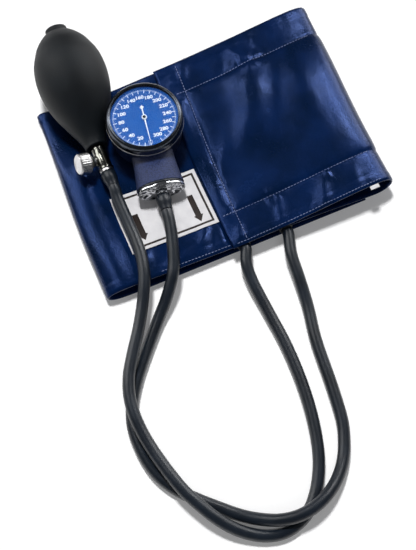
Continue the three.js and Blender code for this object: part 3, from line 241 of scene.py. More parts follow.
enamel("navy_enamel", "navy_stoved_enamel", "#0b1026", "#131a34", 0.35, 2.0, 0.00004)
enamel("crinkle_enamel", "crinkle_stoved_enamel", "#0f1631", "#2b375e", 0.6, 1.0, 0.00035, 0)
enamel("blue_dial", "printed_blue_dial", "#0f4c96", "#1456a2", 0.5, 3.0, 0.00001, 0, 0.15)
enamel("white_enamel", "white_printing_enamel", "#d3dde8", "#e2eaf2", 0.5, 2.0, 0.00001, 0, 0.15)


# Label cloth: coated taffeta, off-white, with its thread just showing; print and sewing thread are
# drawn with the same fine thread
def taffeta(slotName, name, dark, light):
    add, shader, spot = newMaterial(slotName, name, {"Roughness": 0.65})
    threadSpacing = 0.6  # mm
    patches = add("TexNoise", {"Vector": spot, "Scale": 140, "Detail": 4})
    thread = add("TexWave", {
        "Vector": spot, "Scale": waveScale(mm(threadSpacing)), "Distortion": 2})
    colour = add("ValToRGB", {"Fac": patches}, stops=[(0.3, dark), (0.7, light)])
    ribbed = add("Bump", {"Height": thread.outputs["Fac"], "Distance": 0.00005, "Strength": 0.4})
    feed(shader, {"Base Color": colour, "Normal": ribbed})


taffeta("printed_label", "coated_taffeta_label", "#cbcacd", "#d9d8da")
taffeta("label_ink", "dark_label_ink", "#1c1513", "#2a211e")
taffeta("thread", "spun_polyester_thread", "#56638c", "#8490b4")


# Watch glass, cast flat and polished: clear, with faint smears that soften its gleam
def clearGlass():
    add, shader, spot = newMaterial("clear_glass", "flat_watch_glass", {
        "Transmission Weight": 1.0, "IOR": 1.49, "Base Color": "#fbfcff"})
    smears = add("TexNoise", {"Vector": spot, "Scale": 80})
    gloss = add("MapRange", {"Value": smears, "To Min": 0.12, "To Max": 0.18})
    feed(shader, {"Roughness": gloss})


clearGlass()
print("materials made")


def finishPiece(piece, name, slotName, body="cuff_set", nodes=(), material=None):
    piece.name = name
    piece.data.materials.clear()
    piece.data.materials.append(finishes[material or slotName])
    if nodes:
        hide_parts(*nodes)
    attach(piece, body)
    return piece


def onlySelect(*objects):
    bpy.ops.object.select_all(action="DESELECT")
    for item in objects:
        item.select_set(True)
    bpy.context.view_layer.objects.active = objects[0]


# A form turned or lofted up +Z from a circle: each ring is (radius, height) or (half width in X,
# half width in Y, height). Rings that come back to the first one close into a tube wall, others are
# filled at both ends.
def loftedPiece(rings, sides=64, at=None, smooth=35, bevelWidth=0.0):
    rings = [(r[0], r[0], r[1]) if len(r) == 2 else r for r in rings]
    wide, deep, height = rings[0]
    bpy.ops.mesh.primitive_circle_add(vertices=sides, radius=mm(wide), location=(0, 0, 0))
    piece = bpy.context.object
    bpy.ops.object.mode_set(mode="EDIT")
    bpy.ops.transform.resize(value=(1, deep / wide, 1), center_override=(0, 0, 0))
    bpy.ops.transform.translate(value=(0, 0, mm(height)))
    for nextWide, nextDeep, nextHeight in rings[1:]:
        bpy.ops.mesh.extrude_edges_move(TRANSFORM_OT_translate={"value": (0, 0, mm(nextHeight - height))})
        bpy.ops.transform.resize(
            value=(nextWide / wide, nextDeep / deep, 1), center_override=(0, 0, mm(nextHeight)))
        wide, deep, height = nextWide, nextDeep, nextHeight
    bpy.ops.mesh.select_all(action="SELECT")
    bpy.ops.mesh.remove_doubles(threshold=0.000001)
    if rings[0] != rings[-1]:
        bpy.ops.mesh.fill_holes(sides=0)
    bpy.ops.object.mode_set(mode="OBJECT")
    pointNormalsOut(piece)
    if bevelWidth:
        roundEdges(piece, bevelWidth)
    settle(piece, at)
    bpy.ops.object.shade_smooth_by_angle(angle=math.radians(smooth))
    return piece


def pointNormalsOut(piece):
    onlySelect(piece)
    bpy.ops.object.mode_set(mode="EDIT")
    bpy.ops.mesh.select_all(action="SELECT")
    bpy.ops.mesh.normals_make_consistent(inside=False)
    bpy.ops.object.mode_set(mode="OBJECT")


def roundEdges(piece, width, segments=2):
    onlySelect(piece)
    bevel = piece.modifiers.new("edges", "BEVEL")
    bevel.width = mm(width)
    bevel.segments = segments
    bevel.limit_method = "ANGLE"
    bevel.angle_limit = math.radians(30)
    bpy.ops.object.modifier_apply(modifier=bevel.name)


# Puts a piece in its place and leaves the place in the mesh
def settle(piece, at=None):
    onlySelect(piece)
    if at is not None:
        piece.matrix_world = at @ piece.matrix_world
    bpy.ops.object.transform_apply(location=True, rotation=True, scale=True)


def joinPieces(first, *others):
    onlySelect(first, *others)
    bpy.ops.object.join()
    return first


# One modelled piece copied to many places, each copy with its own mesh, and joined
def repeated(source, places):
    made = []
    for where in places:
        mesh = source.data.copy()
        mesh.transform(where)
        made.append(addObject(source.name, mesh))
    bpy.data.objects.remove(source)
    return joinPieces(*made)


def rotation(degrees, axis):
    return Matrix.Rotation(math.radians(degrees), 4, axis)


gaugePlace = Matrix.Translation(place(gauge["x"], gauge["y"], 0)) @ rotation(gauge["turn"], "Z")
# Along the neck: +Z runs to the hose, +Y up
stemPlace = gaugePlace @ Matrix.Translation((0, 0, mm(gauge["stem"]))) @ rotation(90, "X")

cuff = {
    "width": 154, "turn": 23.5, "x": 0.5, "y": -3.6,
    "column": 1.25,  # from one column of the mesh to the next
    "steps": [(8, 3), (11, 1.6), (20, 1.6), (22, 1.05)],  # from row to row, at spans of the fold
    "ports": (-9.2, 23.5),  # along the cuff, where the hoses come out
    # how far from its middle line the heights of its two edges begin to tell, and the upper is full
    "lowerFrom": 15, "upperFrom": (15, 60),
}
half = cuff["width"] / 2
# The fold of the cloth in the plane of its length and height: place along the cuff, then height at
# its lower edge, middle and upper edge, from the hidden end under the right side to the free edge
fold = [
    *[(along, 0.75, 0.75, 0.75) for along in (88, 40, 0, -40, -80)],
    (-97.75, 0.9, 0.9, 0.8), (-105.75, 2.2, 2, 1.3), (-109.75, 6.2, 5.6, 3.2),
    (-107.35, 10.8, 10.2, 5.5), (-99.75, 12.9, 12, 5), (-88, 13.2, 11, 3.1), (-70, 12.6, 9.6, 2.6),
    (-50, 12, 9.2, 3), (-35, 11.5, 9.2, 5), (-20, 11, 9.2, 7), (0, 10.6, 9, 8), (25, 10.3, 8.6, 8),
    (50, 9, 7.8, 7.5), (70, 6.8, 6.6, 6.6), (88, 4.6, 4.4, 4.4), (100.75, 4.2, 4, 4.4),
    (107.25, 8, 7.6, 7.6), (109.75, 14, 13.4, 12.5), (107.25, 20.5, 19.6, 17), (99.75, 24.4, 23.4, 19.6),
    (86, 24.8, 23.8, 20), (68, 23.4, 21.8, 19), (45, 20.6, 18.4, 17), (20, 17.6, 15.2, 15.2),
    (0, 16.6, 13.6, 14), (-17.5, 15.3, 12.8, 13),
]
foldSpans = len(fold) - 1
# Spans of the fold that each layer takes up, without and with the folds beside it
middleLayer, topLayer = (11, 19), (25, foldSpans)
middleLayerWide, topLayerWide = (9, 19), (24, foldSpans)
# Spans of the fold and how far the cloth lies askew there, along and across the cuff, at its lower
# and its upper edge
askew = [
    (4, (0, 0), (0, 0)), (8, (-1.3, 1), (4.3, 3)), (15, (0, 0), (0, 0)), (22, (-3, 0), (1.5, 3.7)),
    (foldSpans, (0, -2.4), (2.8, -1.6)),
]


# Points with one more at each end, so that a curve passes through all of them
def padded(points):
    return [2 * points[0] - points[1], *points, 2 * points[-1] - points[-2]]


# Smooth curve from b to c, for vectors and arrays
def curveBetween(a, b, c, d, t):
    square = (2 * a - 5 * b + 4 * c - d) * t ** 2
    return 0.5 * (2 * b + (c - a) * t + square + (3 * b - a - 3 * c + d) * t ** 3)


foldTable = np.array(padded(np.array(fold, float)))


def smoothStep(value, low, high):
    share = np.clip((value - low) / (high - low), 0, 1)
    return share * share * (3 - 2 * share)


# Centre of the cloth at a span of the fold and a place across: along, height and the normal of both
def clothCentre(span, across):
    span, across = np.broadcast_arrays(np.asarray(span, float), np.asarray(across, float))
    start = np.clip(np.floor(span), 0, foldSpans - 1).astype(int)
    t = (span - start)[..., None]
    a, b, c, d = (foldTable[start + k] for k in range(4))
    at = curveBetween(a, b, c, d, t)
    run = 0.5 * ((c - a) + 2 * (2 * a - 5 * b + 4 * c - d) * t + 3 * (3 * b - a - 3 * c + d) * t ** 2)
    lower = smoothStep(-across, cuff["lowerFrom"], half)
    upper = smoothStep(across, *cuff["upperFrom"])
    height, rise = (
        part[..., 2] * (1 - lower) * (1 - upper) + part[..., 1] * lower + part[..., 3] * upper
        for part in (at, run))
    length = np.hypot(run[..., 0], rise)
    return at[..., 0], height, -rise / length, run[..., 0] / length


def clothDrift(span, across):
    upper = smoothStep(across, -half / 2, half)
    drift = [0.0, 0.0]
    for before, (reached, low, high) in zip([(0,), *askew], askew):
        share = smoothStep(span, before[0], reached)
        for axis in (0, 1):
            drift[axis] = drift[axis] * (1 - share) + (low[axis] * (1 - upper) + high[axis] * upper) * share
    return drift


# The span at which one layer of the fold passes a place along the cuff
def spanOf(along, layer):
    spans = np.linspace(*layer, 800)
    places = clothCentre(spans, 0.0)[0]
    order = np.argsort(places)
    return np.interp(along, places[order], spans[order])


def clothToRow(span, along, across, height):
    driftAlong, driftAcross = clothDrift(span, across)
    along, across = along + driftAlong, across + driftAcross
    turn = math.radians(cuff["turn"])
    x = cuff["x"] + along * np.cos(turn) - across * np.sin(turn)
    y = cuff["y"] + along * np.sin(turn) + across * np.cos(turn)
    return np.stack([x / 1000 + shift.x, y / 1000 + shift.y, height / 1000], axis=-1)


# Points off the cuff's lower edge, at a place along its middle layer
def pastEdge(along, distances):
    span = float(spanOf(along, middleLayer))
    height = float(clothCentre(span, -half)[1])
    return [Vector(clothToRow(span, along, -half - past, height)) for past in distances]


hose = {
    "diameter": 8.4, "stepsPerPoint": 6,
    "ends": (4.8, 1.8),  # past the cuff's edge
    "lying": 4.5,  # height of its middle on the table
}
# Points of each hose, first the two where it leaves its sleeve; those with no height lie on the table
bulbHoseRoute = [
    (-68.49, -38.53, 22.4), (-67.32, -41.29, 22.4),
    (-66, -46, 21.2), (-61.6, -56.2, 20), (-56.8, -67.2, 19.2), (-52.1, -78.4, 19.1), (-48.2, -89.7, 19.2),
    (-46, -101.5, 19), (-45.7, -112.3, 17.8), (-46.7, -124.8, 15.4), (-49.1, -141.4, 13.8),
    (-52.5, -158.3, 13.4), (-54.8, -174.3, 13.4), (-54.1, -188, 13.4), (-50.5, -200.9, 13.2),
    (-45, -212.7, 12.2), (-38.6, -223.2, 11.8), (-31.6, -233.2, 12.4), (-24.6, -242.4, 13.4),
    (-17.4, -250.8, 13.6), (-9, -258.4, 13.2), (1.2, -266.4, 11.6), (12.1, -272.7, 8.8), (23.6, -276.6, 6),
    (35.8, -278, 4.6), (46.8, -276), (56.3, -270.1), (63.3, -261.8), (67.7, -251.2), (70.2, -238.8),
    (70.8, -224.3), (68.2, -203.5), (61.8, -178.1), (51.3, -149.9), (39.4, -125.6, 5), (28.8, -104.5, 8),
    (24.8, -92.5, 10.2),
]
gaugeHoseRoute = [
    (-30.8, -57.62, 22.69), (-30.07, -60.53, 22.69),
    (-29.1, -63.9, 22.4), (-27.8, -70.9, 21.6), (-26.8, -78.7, 20.6), (-26, -87.3, 19.6),
    (-25.7, -95, 18.5), (-26.2, -103.4, 17.2), (-28.5, -112.5, 13.9), (-31.6, -121.3, 9.7),
    (-35.7, -131, 6.2), (-40.7, -144.9, 4.6), (-45.9, -160.6), (-50.3, -176), (-52.7, -191.2),
    (-51.9, -206.2), (-46.9, -220.3), (-40.1, -232.3), (-32.1, -241.5), (-22.2, -248.6), (-11.1, -253.8),
    (3.8, -259.6), (19.3, -265.1, 5.1), (32.7, -268, 7.6), (44, -268.9, 11), (54.8, -267, 13.2),
    (64.5, -262.2, 13.4), (73.7, -254.2, 12), (81.7, -242.6, 8.4), (86.8, -228.4, 5.4), (88.1, -213),
    (87.3, -202.1), (81.3, -178.1), (71.9, -146.3), (66.9, -121, 4.8), (61.3, -101.6, 8.2),
    (56.3, -85.2, 10.2),
]


# Centripetal curve through the route's points
def hosePath(points, steps):
    guides = padded(points)
    path = []
    for a, b, c, d in zip(guides, guides[1:], guides[2:], guides[3:]):
        ab, bc, cd = (math.sqrt((q - p).length) for p, q in ((a, b), (b, c), (c, d)))
        startSlope = ((b - a) / ab - (c - a) / (ab + bc) + (c - b) / bc) * bc
        endSlope = ((c - b) / bc - (d - b) / (bc + cd) + (d - c) / cd) * bc
        for k in range(steps):
            t = k / steps
            path.append(b + startSlope * t + (3 * (c - b) - 2 * startSlope - endSlope) * t ** 2
                        + (2 * (b - c) + startSlope + endSlope) * t ** 3)
    path.append(points[-1])
    return path


def makeHose(name, node, route, along):
    points = [place(*(*point, hose["lying"])[:3]) for point in route] + pastEdge(along, hose["ends"])
    path = hosePath(points, hose["stepsPerPoint"])
    curve = bpy.data.curves.new(name, "CURVE")
    curve.dimensions = "3D"
    curve.bevel_depth = mm(hose["diameter"] / 2)
    curve.bevel_resolution = 6
    curve.use_fill_caps = True
    spline = curve.splines.new("POLY")
    spline.points.add(len(path) - 1)
    for point, where in zip(spline.points, path):
        point.co = (*where, 1)
    spline.use_smooth = True
    piece = addObject(name, curve)
    finishPiece(piece, name, "hose_rubber", nodes=(node,))


makeHose("bulb_to_cuff_hose", "hose_bulb", bulbHoseRoute, cuff["ports"][0])
makeHose("gauge_to_cuff_hose", "hose_gauge", gaugeHoseRoute, cuff["ports"][1])


# Random waves of a height and a length along a run
def ripple(run, seed, high, length):
    values = [noise.noise(Vector((p, seed, 0.3))) for p in np.ravel(run / length)]
    return high * np.array(values).reshape(np.shape(run))


# Where the seams run, along the cuff for the slanting left one and across it for the others, the
# thread's radius, and a stitch's length and place from the next
seam = {"left": -3.4, "slant": 0.036, "sides": 51.6, "hem": 75, "thread": 0.26, "stitch": 1.9, "pitch": 2.4}
# From beside the first port to short of the free edge
bladderBox = {"width": 100, "thickness": 1.6, "from": spanOf(cuff["ports"][0] - 5, middleLayer),
              "to": foldSpans - 1.5}

# Soft hills and hollows of the top panel, where the cloth is gathered: place along and across,
# height, half length and half width, and the turn of the longer side from the cuff's length
topHills = [
    (46, 60, 1.7, 15, 6, -50), (66, 66, -0.7, 11, 6, 55), (31, 60, -0.8, 11, 6, 50),
    (43, 30, 2.7, 28, 13, 75), (27, 3, 1.2, 16, 8, 52), (60, 20, -0.8, 30, 9, 66),
    (80, 5, 0.7, 40, 12, 85), (-11, -34, 1.2, 26, 5.2, 88), (2, -12, 0.9, 14, 5, 60),
    (-11, 38, 1.1, 24, 4.6, 90), (-9, -68, 1.1, 8, 4, 60), (24, -65, 1.0, 9, 4.2, 72),
    (58, -67, 1.3, 11, 4.6, 68), (44, -67, -0.7, 9, 4.6, 65), (85, -66, 0.8, 9, 4.4, 70),
    (2, 66, 1.0, 9, 4.6, 60),
]
# The same for the layer under it, between the left fold and the free edge
middleHills = [
    (-98, -58, 2, 26, 9, 90), (-75, -62, 1.1, 8, 4, 70), (-47, -67, 1.3, 13, 4.4, 12),
    (-32, -62, 1.2, 12, 4, 60), (-22, -66, 1.0, 9, 4, 80), (-96, 15, 0.8, 30, 6, 86),
    (-60, -72, 0.8, 8, 3.4, 20),
]
# Pleats that run off the seams, where the thread has drawn the cloth: place along and across the
# seam's foot, the way they run from the cuff's length, reach and depth
sideSeam = seam["sides"]
pleats = [
    (40, sideSeam, 104, 9, 0.5), (45, sideSeam, 86, 12, 0.7), (50.5, sideSeam, 72, 13, 0.8),
    (56, sideSeam, 58, 10, 0.6), (43, sideSeam, -75, 9, 0.5), (49, sideSeam, -92, 12, 0.6),
    (55, sideSeam, -100, 9, 0.5), (20, -sideSeam, -80, 10, 0.7), (23.5, -sideSeam, 95, 9, 0.6),
    (27, -sideSeam, -98, 10, 0.5), (-4, 60, 150, 9, 0.6), (-4, 67, 165, 8, 0.5), (-4, 45, 200, 8, 0.5),
    (-5, -8, 185, 9, 0.4), (-5.4, -30, 170, 10, 0.4), (-5.6, -47, 190, 8, 0.5), (-5, -30, 10, 8, 0.4),
    (66, -sideSeam, -85, 12, 0.6),
]


# Distances from a centre, along and across a direction turned from the cuff's length
def turnedFrom(along, across, centreAlong, centreAcross, turn):
    along, across, way = along - centreAlong, across - centreAcross, math.radians(turn)
    return along * math.cos(way) + across * math.sin(way), across * math.cos(way) - along * math.sin(way)


def softRelief(along, across, places):
    relief = np.zeros(np.shape(along))
    for hillAlong, hillAcross, high, long, short, turn in places:
        s, t = turnedFrom(along, across, hillAlong, hillAcross, turn)
        relief = relief + high * np.exp(-(s / long) ** 2 - (t / short) ** 2)
    return relief


# A pleat's width at its foot and what it gains per mm, where it starts, and the share of its reach
# from which it fades
pleatShape = {"wide": 1.7, "opening": 0.16, "start": (-0.5, 1.2), "fadeFrom": 0.3}


def pleatRelief(along, across):
    relief = np.zeros(np.shape(along))
    for footAlong, footAcross, turn, reach, deep in pleats:
        s, t = turnedFrom(along, across, footAlong, footAcross, turn)
        wide = pleatShape["wide"] + pleatShape["opening"] * np.clip(s, 0, reach)
        fade = 1 - smoothStep(s, reach * pleatShape["fadeFrom"], reach)
        fade = smoothStep(s, *pleatShape["start"]) * fade
        relief = relief + deep * np.exp(-(t / wide) ** 2) * fade
    return relief


# Heights of the cloth's forms, each with its reach from a seam or the length of its waves
forms = {
    "cloth": 0.75, "hemFold": 0.3, "hemWave": (0.12, 5), "pocket": (0.95, 3.5), "crown": (0.8, 14),
    "swell": (0.35, 34), "seamDip": (0.3, 1.2), "pucker": (0.22, 6), "finePucker": (0.16, 2.6),
    "puckerReach": 4,
}
farInside = 60  # here a seam no longer tells
# Where a form comes up: between two spans of the fold, or for the hem two places across the cuff
rises = {
    "top": (22.5, 24.5), "topHills": (24, 25.5), "middleHills": (7.5, 9), "middleHillsGone": (16, 18),
    "pocket": (bladderBox["from"] - 1, bladderBox["from"] + 0.6),
    "hemFold": (half - 7.5, half - 6.7), "hemWave": (half - 15, half - 2),
}


# How far a skin of the cloth stands from its centre. The bladder's pocket is full, and the seams
# round it are drawn down with fine puckers.
def skinReach(span, across, along):
    def filled(high, reach):
        return high * (1 - np.exp(-np.clip(inside, 0, farInside) / reach))

    onTop, out = smoothStep(span, *rises["top"]), np.abs(across)
    inFromLeft = np.where(span > topLayer[0], along - seam["left"] - seam["slant"] * across, farInside)
    inFromSides = seam["sides"] - out
    inside = np.minimum(inFromLeft, inFromSides)
    run = np.where(inFromLeft < inFromSides, across, along)
    puckers = ripple(run, 3, *forms["pucker"]) + ripple(run, 8, *forms["finePucker"])
    dipHigh, dipReach = forms["seamDip"]
    pocket = filled(*forms["pocket"]) - dipHigh * np.exp(-(inside / dipReach) ** 2)
    pocket = pocket + puckers * np.exp(-np.abs(inside) / forms["puckerReach"])
    pocket = pocket * smoothStep(span, *rises["pocket"])
    # the hem is turned in and sewn
    hem = forms["hemFold"] * smoothStep(out, *rises["hemFold"])
    hem = hem + ripple(along, 5, *forms["hemWave"]) * smoothStep(out, *rises["hemWave"])
    swell = filled(*forms["crown"]) + ripple(along + across / 1.5, 1, *forms["swell"])
    relief = softRelief(along, across, topHills) + pleatRelief(along, across)
    top = onTop * (swell + relief * smoothStep(span, *rises["topHills"]))
    under = softRelief(along, across, middleHills) * smoothStep(span, *rises["middleHills"])
    under = under * (1 - smoothStep(span, *rises["middleHillsGone"]))
    return forms["cloth"] + hem + pocket + top + under


# The cloth's edge is thinner, to a share of its thickness: by the distance from the cuff's sides
# and the spans from its free edge, where it is folded round
edge = {"share": 0.35, "sides": 1.2, "freeEnd": 0.06, "least": 0.5, "most": 5, "overTable": 0.02}


def skinPoint(span, across, side=1, lift=0.0):
    along, height, normalAlong, normalUp = clothCentre(span, across)
    reach = np.clip(skinReach(span, across, along), edge["least"], edge["most"])
    hem = 1 - smoothStep(np.abs(across), half - edge["sides"], half)
    end = smoothStep(foldSpans - span, 0, edge["freeEnd"])
    reach = side * (reach * (edge["share"] + (1 - edge["share"]) * hem * end) + lift)
    along, height = along + reach * normalAlong, height + reach * normalUp
    return clothToRow(span, along, across, np.maximum(height, edge["overTable"]))


# A closed mesh from two grids of points, the outer and the inner skin
def gridMesh(name, skins, uvs=None):
    points = np.stack(skins)
    rows, columns = points.shape[1:3]
    count = rows * columns
    grid = np.arange(count).reshape(rows, columns)
    a, b, c, d = grid[:-1, :-1], grid[:-1, 1:], grid[1:, 1:], grid[1:, :-1]
    cells = np.stack([a, b, c, d, count + a, count + d, count + c, count + b], axis=-1).reshape(-1, 4)
    rim = np.concatenate([grid[:, 0], grid[-1, 1:], grid[-2::-1, -1], grid[0, -2:0:-1]])
    after = np.roll(rim, -1)
    faces = [*cells.tolist(), *np.stack([rim, after, count + after, count + rim], axis=-1).tolist()]
    mesh = bpy.data.meshes.new(name)
    mesh.from_pydata(points.reshape(-1, 3).tolist(), [], faces)
    piece = addObject(name, mesh)
    if uvs is not None:
        layer = mesh.uv_layers.new(name="flat")
        index = np.zeros(len(mesh.loops), int)
        mesh.loops.foreach_get("vertex_index", index)
        layer.data.foreach_set("uv", uvs.reshape(-1, 2)[index % count].ravel())
    pointNormalsOut(piece)
    return piece


fine = np.linspace(0, foldSpans, 6001)
fineAlong, fineHeight = clothCentre(fine, 0.0)[:2]
fineLength = np.concatenate([[0], np.cumsum(np.hypot(np.diff(fineAlong), np.diff(fineHeight)))])
cuffLength = float(fineLength[-1])
rowSteps = np.interp(fine[1:], *zip(*cuff["steps"]))
rowsBefore = np.concatenate([[0], np.cumsum(np.diff(fineLength) / rowSteps)])
rowLengths = np.interp(np.arange(0, rowsBefore[-1] - 1), rowsBefore, fineLength)
rowLengths = np.concatenate([rowLengths, cuffLength - np.array([1.0, 0.5, 0.2, 0])])
rowSpans = np.interp(rowLengths, fineLength, fine)
edgeColumns = half - np.array([0, 0.3, 0.8])
columnPlaces = np.linspace(-half + 1.5, half - 1.5, int(cuff["width"] / cuff["column"]))
columnPlaces = np.concatenate([-edgeColumns, columnPlaces, edgeColumns[::-1]])
clothGrid = np.meshgrid(rowSpans, columnPlaces, indexing="ij")
clothFlat = np.stack(np.meshgrid(rowLengths, columnPlaces, indexing="ij")[::-1], axis=-1) / 100
cloth = gridMesh("cuff_cloth", [skinPoint(*clothGrid, side) for side in (1, -1)], clothFlat)
onlySelect(cloth)
bpy.ops.object.shade_smooth()
finishPiece(cloth, "cuff_cloth", "navy_nylon", nodes=("cuff_outer_cloth", "cuff_inner_cloth"))
print("cuff cloth made, flat length", round(cuffLength, 1), "mm")


# One stitch lies along +X: a short thread that thins to both ends, where it dips into the cloth
def modelStitch():
    radius = mm(seam["thread"])
    bpy.ops.mesh.primitive_uv_sphere_add(segments=6, ring_count=5, radius=radius, location=(0, 0, 0))
    stitch = bpy.context.object
    bpy.ops.object.mode_set(mode="EDIT")
    bpy.ops.transform.rotate(value=math.radians(90), orient_axis="Y", center_override=(0, 0, 0))
    bpy.ops.transform.resize(value=(seam["stitch"] / 2 / seam["thread"], 1, 0.8), center_override=(0, 0, 0))
    bpy.ops.object.mode_set(mode="OBJECT")
    stitch.name = "stitch"
    return stitch


def stitchPlaces(fromPlace, toPlace, layer, side, lift=0.12):
    runLength = math.dist(fromPlace, toPlace)
    count = int(runLength / seam["pitch"])
    share = (np.arange(count) + 0.5) / count
    ends = []
    for nudge in (-0.4, 0, 0.4):
        at = share + nudge * seam["stitch"] / runLength
        along, across = (start + (stop - start) * at for start, stop in zip(fromPlace, toPlace))
        ends.append(skinPoint(spanOf(along, layer), across, side, lift))
    places = []
    for before, middle, after in zip(*ends):
        way = Vector(after - before).normalized()
        up = (Vector((0, 0, 1)) - way * way.z).normalized()
        turn = Matrix((way, up.cross(way), up)).transposed().to_4x4()
        places.append(Matrix.Translation(Vector(middle)) @ turn)
    return places


def seamAt(across):
    return seam["left"] + seam["slant"] * across


stitches = repeated(modelStitch(), [
    *stitchPlaces((-9, seam["sides"]), (104, seam["sides"]), topLayerWide, -1),
    *stitchPlaces((-15, -seam["sides"]), (104, -seam["sides"]), topLayerWide, -1),
    *stitchPlaces((seamAt(74), 74), (seamAt(-74), -74), topLayer, -1),
    *stitchPlaces((-14, -seam["hem"]), (102, -seam["hem"]), topLayerWide, -1),
    *stitchPlaces((-104, -seam["hem"]), (-18, -seam["hem"]), middleLayer, 1, 0.3),
])
finishPiece(stitches, "cuff_stitches", "navy_nylon", material="thread")
print("seams sewn")


# Places at an offset from the cloth's centre
def alongCloth(span, across, offset):
    along, height, normalAlong, normalUp = clothCentre(span, across)
    return clothToRow(span, along + offset * normalAlong, across, height + offset * normalUp)


def stripOnCloth(name, spans, places, thickness):
    grid = np.meshgrid(spans, places, indexing="ij")
    return gridMesh(name, [alongCloth(*grid, offset) for offset in (thickness / 2, -thickness / 2)])


# Bladder inside its pocket, with a flat port round each hose's end
bladder = stripOnCloth(
    "bladder", np.linspace(bladderBox["from"], bladderBox["to"], 60),
    np.linspace(-bladderBox["width"] / 2, bladderBox["width"] / 2, 12), bladderBox["thickness"])
port = {"reach": 1.5, "radius": 5, "bore": 4.3, "length": 1.3}


def makePort(along):
    long, wide, bore = port["length"], port["radius"], port["bore"]
    outer, inner = pastEdge(along, (port["reach"], port["reach"] - long))
    turn = (outer - inner).to_track_quat("Z", "Y").to_matrix().to_4x4()
    return loftedPiece([
        (bore, 0), (wide, 0), (wide, long - 0.5), (wide - 0.15, long - 0.15), (wide - 0.4, long),
        (bore, long), (bore, 0),
    ], sides=32, at=Matrix.Translation(inner) @ turn)


joinPieces(bladder, *[makePort(along) for along in cuff["ports"]])
finishPiece(bladder, "bladder", "bladder_rubber", nodes=("bladder",))

# Size tag: a folded strip of label cloth caught in the hem under the top panel
tag = {"from": 96.2, "length": 7, "reach": 3, "thickness": 0.5}
tagSpans = spanOf(np.linspace(tag["from"], tag["from"] - tag["length"], 8), (23, 26))
tagPlaces = np.linspace(-half - tag["reach"], -half - 0.3, 4)
tagPiece = stripOnCloth("size_tag", tagSpans, tagPlaces, tag["thickness"])
finishPiece(tagPiece, "size_tag", "printed_label", nodes=("size_tag",))
print("bladder, ports and tag made")


# Rings given from a radius and a height on
def ringsFrom(radius, height, rings):
    return [(radius + r, height + z) for r, z in rings]


# The bezel is chrome drawn dark: its colour is a painted reflection of dark surroundings
bezel = loftedPiece(ringsFrom(gauge["bezel"], gauge["bezelTop"], [
    (-1.5, -7.8), (-0.3, -7.8), (0, -7.5), (0, -4.6), (-0.15, -3.4), (-0.5, -2.2), (-1, -1.2), (-1.6, -0.5),
    (-2.2, -0.1), (-2.7, 0), (-3.5, -0.4), (-3.7, -0.8), (-1.5, -0.85), (-1.5, -7.8),
]), sides=128, at=gaugePlace, smooth=40)
finishPiece(bezel, "gauge_bezel", "dark_chrome", nodes=("bezel",))

rolledEdge = loftedPiece(ringsFrom(gauge["bezel"], gauge["bezelTop"] - gauge["bezelHeight"], [
    (-1.4, 0), (-0.35, 0), (0, 0.2), (0.12, 0.5), (0.12, 0.8), (-0.05, 1.15), (-0.4, 1.25), (-1.4, 1.25),
    (-1.4, 0),
]), sides=128, at=gaugePlace, smooth=60)
finishPiece(rolledEdge, "gauge_rolled_edge", "satin_chrome")

crystal = loftedPiece([
    (25.1, 43.3), (25.2, 43.4), (25.2, 44.5), (25.16, 44.62), (25.05, 44.68), (24.9, 44.7), (12, 44.7),
    (2, 44.7),
], sides=128, at=gaugePlace, smooth=30)
finishPiece(crystal, "gauge_crystal", "clear_glass", nodes=("crystal",))
crystal.visible_shadow = False  # the lamps reach the dial through it

case = loftedPiece([
    (24.3, 40.2), (25.8, 40.2), (25.8, 19.5), (25.4, 18.2), (24.2, 17.2), (22.6, 17), (3, 17), (3, 18.6),
    (22.4, 18.6), (24.3, 20.2), (24.3, 40.2),
], sides=96, at=gaugePlace, smooth=40)
finishPiece(case, "gauge_case", "navy_enamel", nodes=("head_case",))

# The dial's rim is dished up to the glass
dialTop = gauge["dialTop"]
dial = loftedPiece(ringsFrom(0, dialTop, [
    (1.2, -0.8), (24.1, -0.8), (24.2, -0.7), (24.2, -0.1), (23.85, 0.1), (23.85, 1.9), (23.7, 1.9),
    (22.6, 0.15), (22.3, 0), (1.2, 0), (1.2, -0.8),
]), sides=128, at=gaugePlace, smooth=50)
finishPiece(dial, "gauge_dial", "blue_dial", nodes=("dial_plate",))


# Neck: a bell, wide and low under the head, opening to the oval base
def neckRings(shrink=0.0):
    rings, (wideFlare, highFlare) = [], gauge["neckFlare"]
    for share in np.linspace(0, 1, 19).tolist():
        wide = gauge["neckWide"] + (gauge["baseWide"] - gauge["neckWide"]) * share ** wideFlare - shrink
        high = gauge["neckHigh"] + (gauge["baseHigh"] - gauge["neckHigh"]) * share ** highFlare - shrink
        rings.append((wide, high, gauge["neckFrom"] + neckLength * share))
    return rings


neckLength = gauge["neckTo"] - gauge["neckFrom"]
neckOuter, neckInner = neckRings(), neckRings(gauge["neckWall"])
neck = loftedPiece([*neckOuter, *reversed(neckInner), neckOuter[0]], sides=96, smooth=40)
for vertex in neck.data.vertices:
    share = (vertex.co.z * 1000 - gauge["neckFrom"]) / neckLength
    vertex.co.y += mm(gauge["neckRise"]) * (1 - share) ** 2
settle(neck, stemPlace)
finishPiece(neck, "gauge_neck", "crinkle_enamel", nodes=("neck_bell",))

# Base: a pressed chrome cup with a thin rim, its dish beaten into soft flutes round a hub
baseWide, baseHigh = gauge["baseWide"], gauge["baseHigh"]
